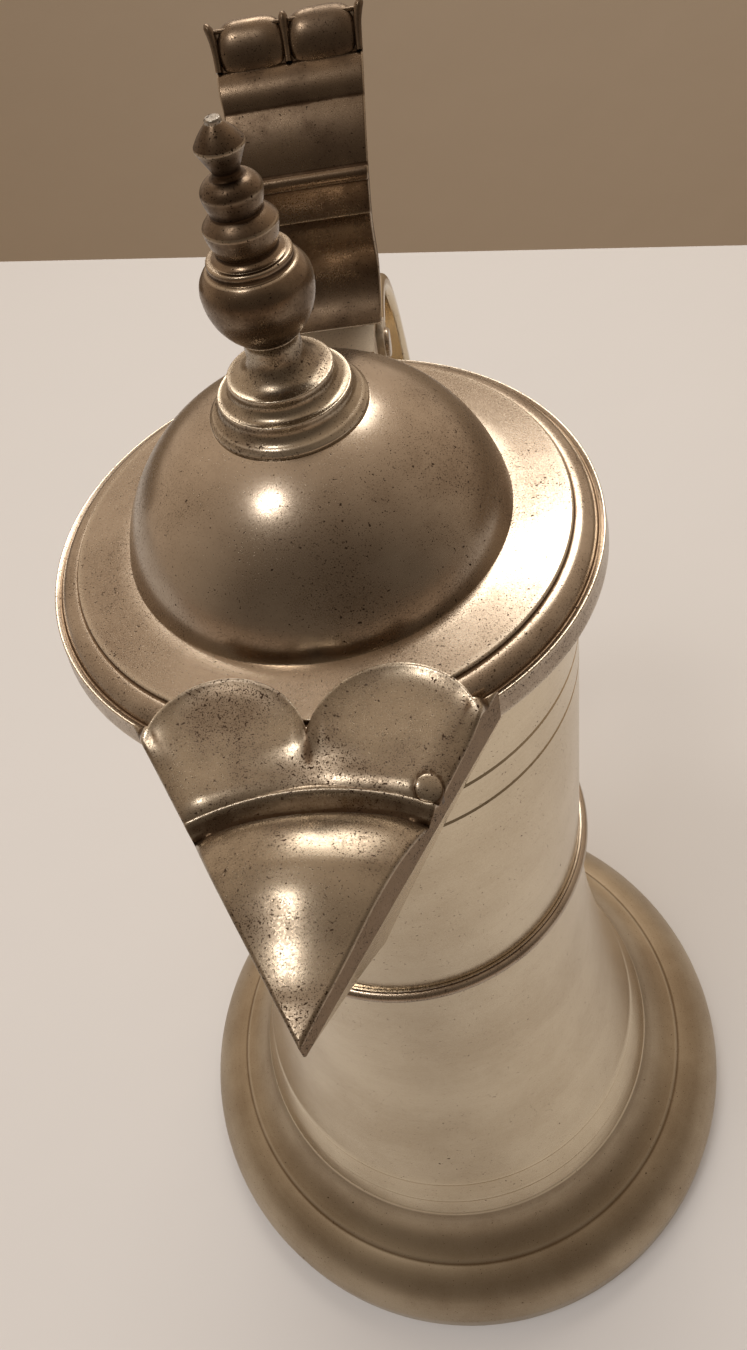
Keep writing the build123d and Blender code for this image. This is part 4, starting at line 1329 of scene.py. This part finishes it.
    def rows(self) -> list[list[Point]]:
        """Lays out rows of places from the tip to the back of the lobes.

        Returns:
            The distances across and the reaches of each row's places.
        """
        shares = [
            math.sin(math.pi / 2 * (2 * step / self.columns - 1)) for step in range(self.columns + 1)
        ]
        count, crowding, run = self.pillow_rows
        middles = [self.tip_row - run * (step / count) ** crowding for step in range(count + 1)]
        count, crowding, run = self.cove_rows
        middles += [self.bead[0] + run * (1 - step / count) ** crowding for step in range(1, count + 1)]
        count, crowding, run = self.crest_rows
        middles += [self.bead[0] - run * (step / count) ** crowding for step in range(1, count + 1)]
        rows: list[list[Point]] = []
        for middle in middles:
            bow = self.bow[0] + self.bow[1] * smooth_step(self.crease[0] - middle, 0.0, self.bow_growth)
            bow *= smooth_step(self.reach - middle, 0.0, self.bow_start)
            half = self.half_width(middle)
            for _ in range(self.bow_passes):
                half = self.half_width(middle + bow * (half / self.bow_half) ** 2)
            rows.append([(s * half, middle + bow * (s * half / self.bow_half) ** 2) for s in shares])
        side = self.lid_radius * math.sin(math.atan2(*self.corner))
        ends = [(share * side, self.back(share * side)) for share in shares]
        start = rows[-1]
        count, crowding = self.lobe_rows
        for step in range(1, count + 1):
            part = 1 - (1 - step / count) ** crowding
            rows.append([between(place, end, part) for place, end in zip(start, ends)])
        return rows

    def top_wear(self, rows: list[list[Point]], tops: list[list[float]]) -> list[float]:
        """Measures the wear of the top from how far each place stands out.

        Args:
            rows: The places.
            tops: Their heights.

        Returns:
            The wear of each place, with the painted highlight on the crest and painted shade in the cove.
        """
        wear: list[float] = []
        last_row, last_column, span = len(tops) - 1, len(tops[0]) - 1, self.wear_span
        for index, line in enumerate(tops):
            for column, height in enumerate(line):
                near = [
                    tops[max(index - span, 0)][column],
                    tops[min(index + span, last_row)][column],
                    line[max(column - span, 0)],
                    line[min(column + span, last_column)],
                ]
                edge = self.rim_wear if column in (0, last_column) or index in (0, last_row) else 0.0
                # Painted highlight on the crest and painted shade in the cove
                edge += self.crescent_painted_light_and_seam(*rows[index][column])
                wear.append(max(-1.0, min(1.0, (height - sum(near) / 4) * self.wear_gain + edge)))
        return wear

    def shell(self) -> Piece:
        """Builds the cover as a closed skin over its rows.

        Returns:
            The cover.
        """
        rows = self.rows()
        deep, wide = len(rows), len(rows[0])
        tops = [[self.top(x, y) for x, y in row] for row in rows]
        wear = self.top_wear(rows, tops)
        places = [(x, -y, self.edge + z) for row, line in zip(rows, tops) for (x, y), z in zip(row, line)]
        first = len(places)
        places += [(x, -y, self.edge + self.underside(x, y)) for row in rows for x, y in row]
        faces: Faces = []
        for index in range(deep - 1):
            for column in range(wide - 1):
                low, high = index * wide + column, (index + 1) * wide + column
                faces.append([high, high + 1, low + 1, low])
                faces.append([first + low, first + low + 1, first + high + 1, first + high])
        rim = list(range(wide))
        rim += [index * wide + wide - 1 for index in range(1, deep)]
        rim += [(deep - 1) * wide + column for column in range(wide - 2, -1, -1)]
        rim += [index * wide for index in range(deep - 2, 0, -1)]
        lip = len(places)
        places += [(x, y, z - self.wall_lip) for x, y, z in (places[corner] for corner in rim)]
        wear += [self.wall_wear] * (len(places) - first)
        for index, here in enumerate(rim):
            after = (index + 1) % len(rim)
            following = rim[after]
            faces.append([following, lip + after, lip + index, here])
            faces.append([lip + after, first + following, first + here, lip + index])
        piece = mesh_piece("spout_cover", places, faces, wear)
        mark_sharp(piece)
        return piece

    def plug_skin(self) -> Piece:
        """Builds the plug, whose top follows the lobe and stands a little proud of it.

        Returns:
            The plug.
        """
        offset, centre, radius = self.plug
        rings, sides = self.plug_rings, self.plug_sides
        drop = self.plug_proud + self.plug_seam[1]
        places: list[Place] = []
        wear: list[float] = []
        for ring in range(rings + 1):
            share = ring / rings
            for side in range(sides if ring else 1):
                angle = math.tau * side / sides
                x = offset + share * radius * math.cos(angle)
                y = centre + share * radius * math.sin(angle)
                lift = self.plug_proud - drop * share**self.plug_power
                places.append((x, -y, self.edge + self.height(x, y) + lift))
                wear.append(self.plug_wear - self.plug_rim_film * smooth_step(share, self.plug_rim, 1.0))
        low = min(place[2] for place in places) - self.plug_depth
        places += [(x, y, low) for x, y, _ in places[-sides:]] + [(offset, -centre, low)]
        wear += [self.wall_wear] * (sides + 1)
        return mesh_piece("lobe_plug", places, skin_faces(rings + 1, sides), wear)

    def darken_sides(self, piece: Piece, finish: Material) -> None:
        """Gives the filed sides, which look neither up nor down, a darker finish.

        Args:
            piece: The cover.
            finish: Material of its sides.
        """
        piece.data.materials.append(finish)
        for polygon in piece.data.polygons:
            if abs(polygon.normal.z) < self.side_tilt:
                polygon.material_index = 1

    def build(self, finishes: Finishes) -> None:
        """Builds and dresses the cover."""
        cover = self.shell()
        dress(cover, finishes.cast, Ride.LID, Slot.CAST, "beak_cover")
        self.darken_sides(cover, finishes.filed)
        dress(self.plug_skin(), finishes.cast, Ride.LID, Slot.CAST, "cover_plug")


@dataclass
class Hinge:
    """Hinge leaf, knuckles and pin behind the lid."""

    def build(self, finishes: Finishes) -> None:
        """Dresses the hinge."""
        keep(finishes.scraped, "lid_knuckle", "handle_bracket")
        keep(finishes.iron, "hinge_pin")
        keep(finishes.lid, "pin_caps")


@dataclass
class Thumbpiece:
    """Moulded strap that leans back from the hinge, under a crest of two lobes.

    Places of its outline are distances behind the jug's axis and heights over the hinge leaf.
    """

    # The front from its foot to its crest, the plain back's foot, and its thickness
    foot: float = 264.4
    foot_front: Point = (52.5, 0.0)
    foot_back: Point = (59.9, 0.0)
    cove: Point = (61.5, 9.6)
    nose: Point = (59.4, 19.2)
    nose_top: Point = (60.5, 25.2)
    hollow: Point = (64.6, 32.4)
    band: Point = (69.0, 36.6)
    band_top: Point = (74.0, 41.6)
    crest: Point = (78.3, 47.2)
    step: float = 0.7
    thickness: float = 3.4
    # Bulges of the nose, of the bead over it and of the band, and of the back at band and nose
    nose_bulge: float = -0.35
    bead_bulge: float = 0.7
    band_bulge: float = 0.75
    back_bulges: Pair = (0.3, 0.2)
    # Ledge under the bead over the nose, and the bead's upper end
    ledge: Point = (-0.35, 0.1)
    bead_end: Point = (0.9, 2.4)
    # Half widths, and the swelling of its foot
    root_half_width: float = 10.0
    top_half_width: float = 14.0
    foot_bulge: Pair = (0.7, 16.0)
    bulge_start: float = 0.3
    # Lobes: half length, half height, half depth and how deep they lie; steps along each
    lobe: Triple = (6.9, 5.2, 3.1)
    lobe_depth: float = 1.6
    lobe_power: int = 4
    lobe_steps: int = 24
    # Posts: radii at foot and head, how far they rise over the crest, lean aside and lie forward,
    # how deep against their width, and how their heads close
    post_radii: Pair = (0.6, 0.95)
    post_rise: float = 1.3
    post_forward: float = 0.3
    post_depth: float = 1.2
    post_steps: int = 12
    horn_lean: float = 1.0
    head_start: float = 0.85
    head_closing: float = 0.7
    head_tip: float = 0.3
    # Lip along the crest, and how far its ends taper
    lip: float = 0.38
    lip_taper: float = 0.1

    def outline(self) -> Outline:
        """Draws the strap's side, from its foot up the front and down the back.

        Returns:
            The outline.
        """
        step, nose, ledge, band, top = self.step, self.nose, self.nose_top, self.band, self.band_top

        def back(point: Point) -> Point:
            """Point of the back, one thickness behind a point of the front."""
            return (point[0] + self.thickness, point[1] - step)

        under_nose = (nose[0] + step, nose[1])
        made = Outline(self.foot_front).through(self.cove, under_nose, steps=40)
        made.line(nose).curve(ledge, self.nose_bulge, steps=10)
        made.line((ledge[0] + self.ledge[0], ledge[1] + self.ledge[1]))
        bead_end = (ledge[0] + self.bead_end[0], ledge[1] + self.bead_end[1])
        made.curve(bead_end, self.bead_bulge, steps=14).through(self.hollow, band, steps=24)
        made.curve(top, self.band_bulge, steps=20)
        made.line((top[0] + step, top[1]), self.crest, back(self.crest))
        made.curve(back(band), self.back_bulges[0], steps=10)
        made.through(back(self.hollow), back(ledge), steps=16)
        made.curve(back(under_nose), self.back_bulges[1], steps=8)
        made.through(back(self.cove), self.foot_back, steps=20).line(self.foot_front)
        made.points = [(behind, self.foot + height) for behind, height in made.points]
        return made

    def half_width(self, height: float) -> float:
        """Half the strap's width, which swells at its foot.

        Args:
            height: Height over the table.

        Returns:
            Half the width.
        """
        rise = height - self.foot
        swell, reach = self.foot_bulge
        bulge = swell * (1 - smooth_step(rise, self.bulge_start * reach, reach))
        growth = (self.top_half_width - self.root_half_width) * (rise / self.crest[1])
        return self.root_half_width + growth + bulge

    def ornaments(self) -> list[tuple[list[Place], Faces]]:
        """Builds the crest's lobes, posts and lip.

        Returns:
            Points and faces of each skin.
        """
        low = Vector((0, self.band_top[0] + self.step, self.foot + self.band_top[1]))
        high = Vector((0, self.crest[0], self.foot + self.crest[1]))
        rise = (high - low).normalized()
        front = SIDE.cross(rise)
        spacing = self.top_half_width - self.post_radii[1]
        middle = (low + high) / 2 - front * self.lobe_depth
        half, tall, deep = self.lobe
        made = []
        for x in (-spacing / 2, spacing / 2):
            stations = []
            for step in range(self.lobe_steps + 1):
                place = math.cos(math.pi * step / self.lobe_steps)
                girth = (1 - abs(place) ** self.lobe_power) ** 0.5
                stations.append((middle + SIDE * (x - half * place), tall * girth, deep * girth))
            made.append(rod(stations, rise, front))
        slim, thick = self.post_radii
        length = (high - low).length + self.post_rise
        for x, lean in ((-spacing, -self.horn_lean), (0.0, 0.0), (spacing, self.horn_lean)):
            stations = [(low + SIDE * x, 0.0, 0.0)]
            for step in range(self.post_steps + 1):
                share = step / self.post_steps
                closing = max(0.0, (share - self.head_start) / (1 - self.head_start))
                girth = slim + (thick - slim) * share**2
                girth *= math.sqrt(1 - closing**2 * self.head_closing)
                centre = low + SIDE * (x + lean * share**3) + rise * (length * share)
                stations.append((centre + front * self.post_forward, girth, girth * self.post_depth))
            stations.append((stations[-1][0] + rise * self.head_tip, 0.0, 0.0))
            made.append(rod(stations, SIDE, front))
        tapered = spacing - self.lip_taper
        runs = (tapered, spacing / 2, 0.0, -spacing / 2, -tapered)
        lip = [(high + SIDE * run, self.lip, self.lip) for run in runs]
        ends = [(high + SIDE * run, 0.0, 0.0) for run in (spacing, -spacing)]
        made.append(rod([ends[0], *lip, ends[1]], rise, front))
        return made

    def build(self, finishes: Finishes) -> None:
        """Builds and dresses the thumbpiece."""
        places, faces, wear = strap(self.outline(), self.half_width, ease=0.4, rounding=0.45)
        for more_places, more_faces in self.ornaments():
            first = len(places)
            places += more_places
            wear += [ORNAMENT_WEAR] * len(more_places)
            faces += [[first + corner for corner in face] for face in more_faces]
        piece = mesh_piece("thumb_strap", places, faces, wear)
        mark_sharp(piece)
        dress(piece, finishes.dark, Ride.LID, Slot.CAST, "thumbpiece")


@dataclass
class Handle:
    """Strap handle and its lower boss."""

    def build(self, finishes: Finishes) -> None:
        """Dresses the handle."""
        keep(finishes.body, "handle_strap", "handle_foot")


@dataclass
class PhotoCamera:
    """Camera that looks down on the beak as the photograph does.

    Attributes:
        place: Its place in metres.
        heading: Its heading in degrees from +Y, positive towards +X.
        dip: Degrees that it looks down.
        roll: Degrees that it leans.
        focal: Focal length in pixels of the long side.
        long_side: Long side of the picture in pixels.
        sensor: Long side of the sensor in millimetres.
        nearest: Distance in metres from which it sees.
    """

    place: Place = (0.0293, -0.1321, 0.3860)
    heading: float = -11.56
    dip: float = 51.02
    roll: float = -14.34
    focal: float = 1063.64
    long_side: int = 1350
    sensor: float = 36.0
    nearest: float = 0.005

    def build(self) -> None:
        """Makes the camera and sets it as the scene's."""
        heading, dip, roll = (math.radians(a) for a in (self.heading, self.dip, self.roll))
        sight = Vector(
            (math.sin(heading) * math.cos(dip), math.cos(heading) * math.cos(dip), -math.sin(dip))
        )
        level = sight.cross(Vector((0, 0, 1))).normalized()
        upright = level.cross(sight)
        right = level * math.cos(roll) + upright * math.sin(roll)
        up = upright * math.cos(roll) - level * math.sin(roll)
        pose = Matrix((right, up, -sight)).transposed().to_4x4()
        pose.translation = Vector(self.place)
        lens = bpy.data.cameras.new("photo_camera")
        lens.sensor_fit = "AUTO"
        lens.sensor_width = self.sensor
        lens.lens = self.focal * self.sensor / self.long_side
        lens.clip_start = self.nearest
        camera = bpy.data.objects.new("photo_camera", lens)
        camera.matrix_world = pose
        bpy.context.scene.collection.objects.link(camera)
        bpy.context.scene.camera = camera


@dataclass
class Lamp:
    """One rectangular lamp that faces the jug.

    Attributes:
        name: Its name.
        place: Its place in metres.
        size: Its width and height in metres.
        power: Its power in watts.
        colour: Its colour.
        mirrored: Whether the metal mirrors it.
        aim: The place that it faces.
    """

    name: str
    place: Place
    size: Pair
    power: float
    colour: str
    mirrored: bool = True
    aim: Place = (0.0, -0.02, 0.2)

    def build(self) -> None:
        """Makes the lamp."""
        lamp = bpy.data.lights.new(self.name, "AREA")
        lamp.shape = "RECTANGLE"
        lamp.size, lamp.size_y = self.size
        lamp.energy = self.power
        lamp.color = linear(self.colour)[:3]
        piece = bpy.data.objects.new(self.name, lamp)
        piece.location = self.place
        aim = Vector(self.aim) - Vector(self.place)
        piece.rotation_euler = aim.to_track_quat("-Z", "Y").to_euler()
        piece.visible_camera = False
        piece.visible_glossy = self.mirrored
        bpy.context.scene.collection.objects.link(piece)


@dataclass
class Studio:
    """Pale table, plain wall and soft warm light, in metres.

    Attributes:
        cloth: Colour of the table.
        shade: Its colour on the near side, where the room is dark.
        shade_reach: Where the near side's shade starts and is full.
        wall: Colour of the wall.
        folds: Scale of the cloth's soft folds, their detail, strength and depth.
        dullness: Roughness of cloth and wall.
        room: Colour of the room's light.
        room_levels: Its strength from behind the camera and from the far side.
        room_axis: Direction of the far side.
        room_range: Where along that direction the strength changes.
        table_edge: Two places on the table's far edge.
        table_reach: Half the table's width.
        wall_distance: Distance of the wall behind the table.
        wall_foot: Height of the wall's lower edge.
        wall_top: Height of its upper edge.
        lamps: The lamps.
    """

    cloth: str = "#d1cecb"
    shade: str = "#b7a797"
    shade_reach: Pair = (-0.12, -0.55)
    wall: str = "#ecd7bc"
    folds: tuple[float, float, float, float] = (7.0, 3.0, 0.5, 0.006)
    dullness: float = 0.9
    room: str = "#ffe5ca"
    room_levels: Pair = (0.15, 0.70)
    room_axis: Triple = (-0.137, 0.975, 0.174)
    room_range: Pair = (-0.6, 0.7)
    table_edge: tuple[Point, Point] = ((-0.318, 0.599), (0.199, 0.485))
    table_reach: float = 3.0
    wall_distance: float = 1.5
    wall_foot: float = -2.0
    wall_top: float = 0.15
    lamps: tuple[Lamp, ...] = (
        Lamp("key_lamp", (-0.45, -0.28, 1.52), (0.21, 0.21), 2.3, "#fffaf4"),
        Lamp("far_lamp", (0.05, 0.95, 1.30), (1.0, 0.46), 8.5, "#fffaf2"),
        Lamp("cloth_lamp", (-0.3, -0.6, 2.2), (1.6, 1.6), 20.5, "#f4f8ff", False),
    )

    def flat(self, name: str, corners: Sequence[Place], material: Material) -> None:
        """Makes one flat surface of the stage.

        Args:
            name: Name of the surface.
            corners: Its corners.
            material: Its material.
        """
        mesh = bpy.data.meshes.new(name)
        mesh.from_pydata(list(corners), [], [list(range(len(corners)))])
        mesh.materials.append(material)
        piece = bpy.data.objects.new(name, mesh)
        bpy.context.scene.collection.objects.link(piece)

    def matt(self, name: str, colour: str, shade: str) -> Material:
        """Makes a plain matt material with soft folds.

        Args:
            name: Name of the material.
            colour: Its colour.
            shade: Its colour on the near side, where the room is dark.

        Returns:
            The material.
        """
        made, add = new_material(name)
        place = add("TexCoord", {}, output="Object")
        scale, detail, strength, depth = self.folds
        folds = add("TexNoise", {"Vector": place, "Scale": scale, "Detail": detail})
        bump = add("Bump", {"Strength": strength, "Distance": depth, "Height": folds})
        away = add("SeparateXYZ", (place,), output="Y")
        nearness = add("MapRange", (away, *self.shade_reach), **SMOOTH)
        shades = {0: nearness, 6: linear(colour), 7: linear(shade)}
        tone = add("Mix", shades, output=2, data_type="RGBA")
        finish = {"Base Color": tone, "Roughness": self.dullness, "Normal": bump}
        add("OutputMaterial", (add("BsdfPrincipled", finish),))
        return made

    def light_room(self) -> None:
        """Lights the room around the jug, brighter from its far side."""
        world = bpy.data.worlds.new("room")
        bpy.context.scene.world = world
        world.use_nodes = True
        add = partial(add_node, world.node_tree)
        sight = add("TexCoord", {}, output="Generated")
        towards = add("VectorMath", (sight, self.room_axis), output=1, operation="DOT_PRODUCT")
        level = add("MapRange", (towards, *self.room_range, *self.room_levels))
        background = world.node_tree.nodes["Background"]
        background.inputs["Color"].default_value = linear(self.room)
        world.node_tree.links.new(level, background.inputs["Strength"])

    def build(self) -> None:
        """Makes the table, the wall, the room and the lamps."""
        (x0, y0), (x1, y1) = self.table_edge
        slope = (y1 - y0) / (x1 - x0)
        far, wide = self.table_reach, 2 * self.table_reach
        edge_left, edge_right = y0 + slope * (-far - x0), y0 + slope * (far - x0)
        table = ((-far, -far, 0), (far, -far, 0), (far, edge_right, 0), (-far, edge_left, 0))
        self.flat("table", table, self.matt("cotton_cloth", self.cloth, self.shade))
        foot, top = self.wall_foot, self.wall_top
        corners = ((-wide, foot), (wide, foot), (wide, top), (-wide, top))
        wall = [(x, y0 + slope * (x - x0) + self.wall_distance, z) for x, z in corners]
        self.flat("wall", wall, self.matt("painted_wall", self.wall, self.wall))
        self.light_room()
        for lamp in self.lamps:
            lamp.build()
        bpy.context.scene.view_settings.view_transform = "Standard"


def main() -> None:
    """Builds the jug, its stage and its camera in order."""
    logging.basicConfig(level=logging.INFO, format="%(message)s")
    finishes = Finishes()
    for part in (Foot(), Body(), Lid(), Finial(), BeakCover(), Hinge(), Thumbpiece(), Handle()):
        log.info("building %s", type(part).__name__)
        part.build(finishes)
    Studio().build()
    PhotoCamera().build()


if __name__ == "__main__":
    main()
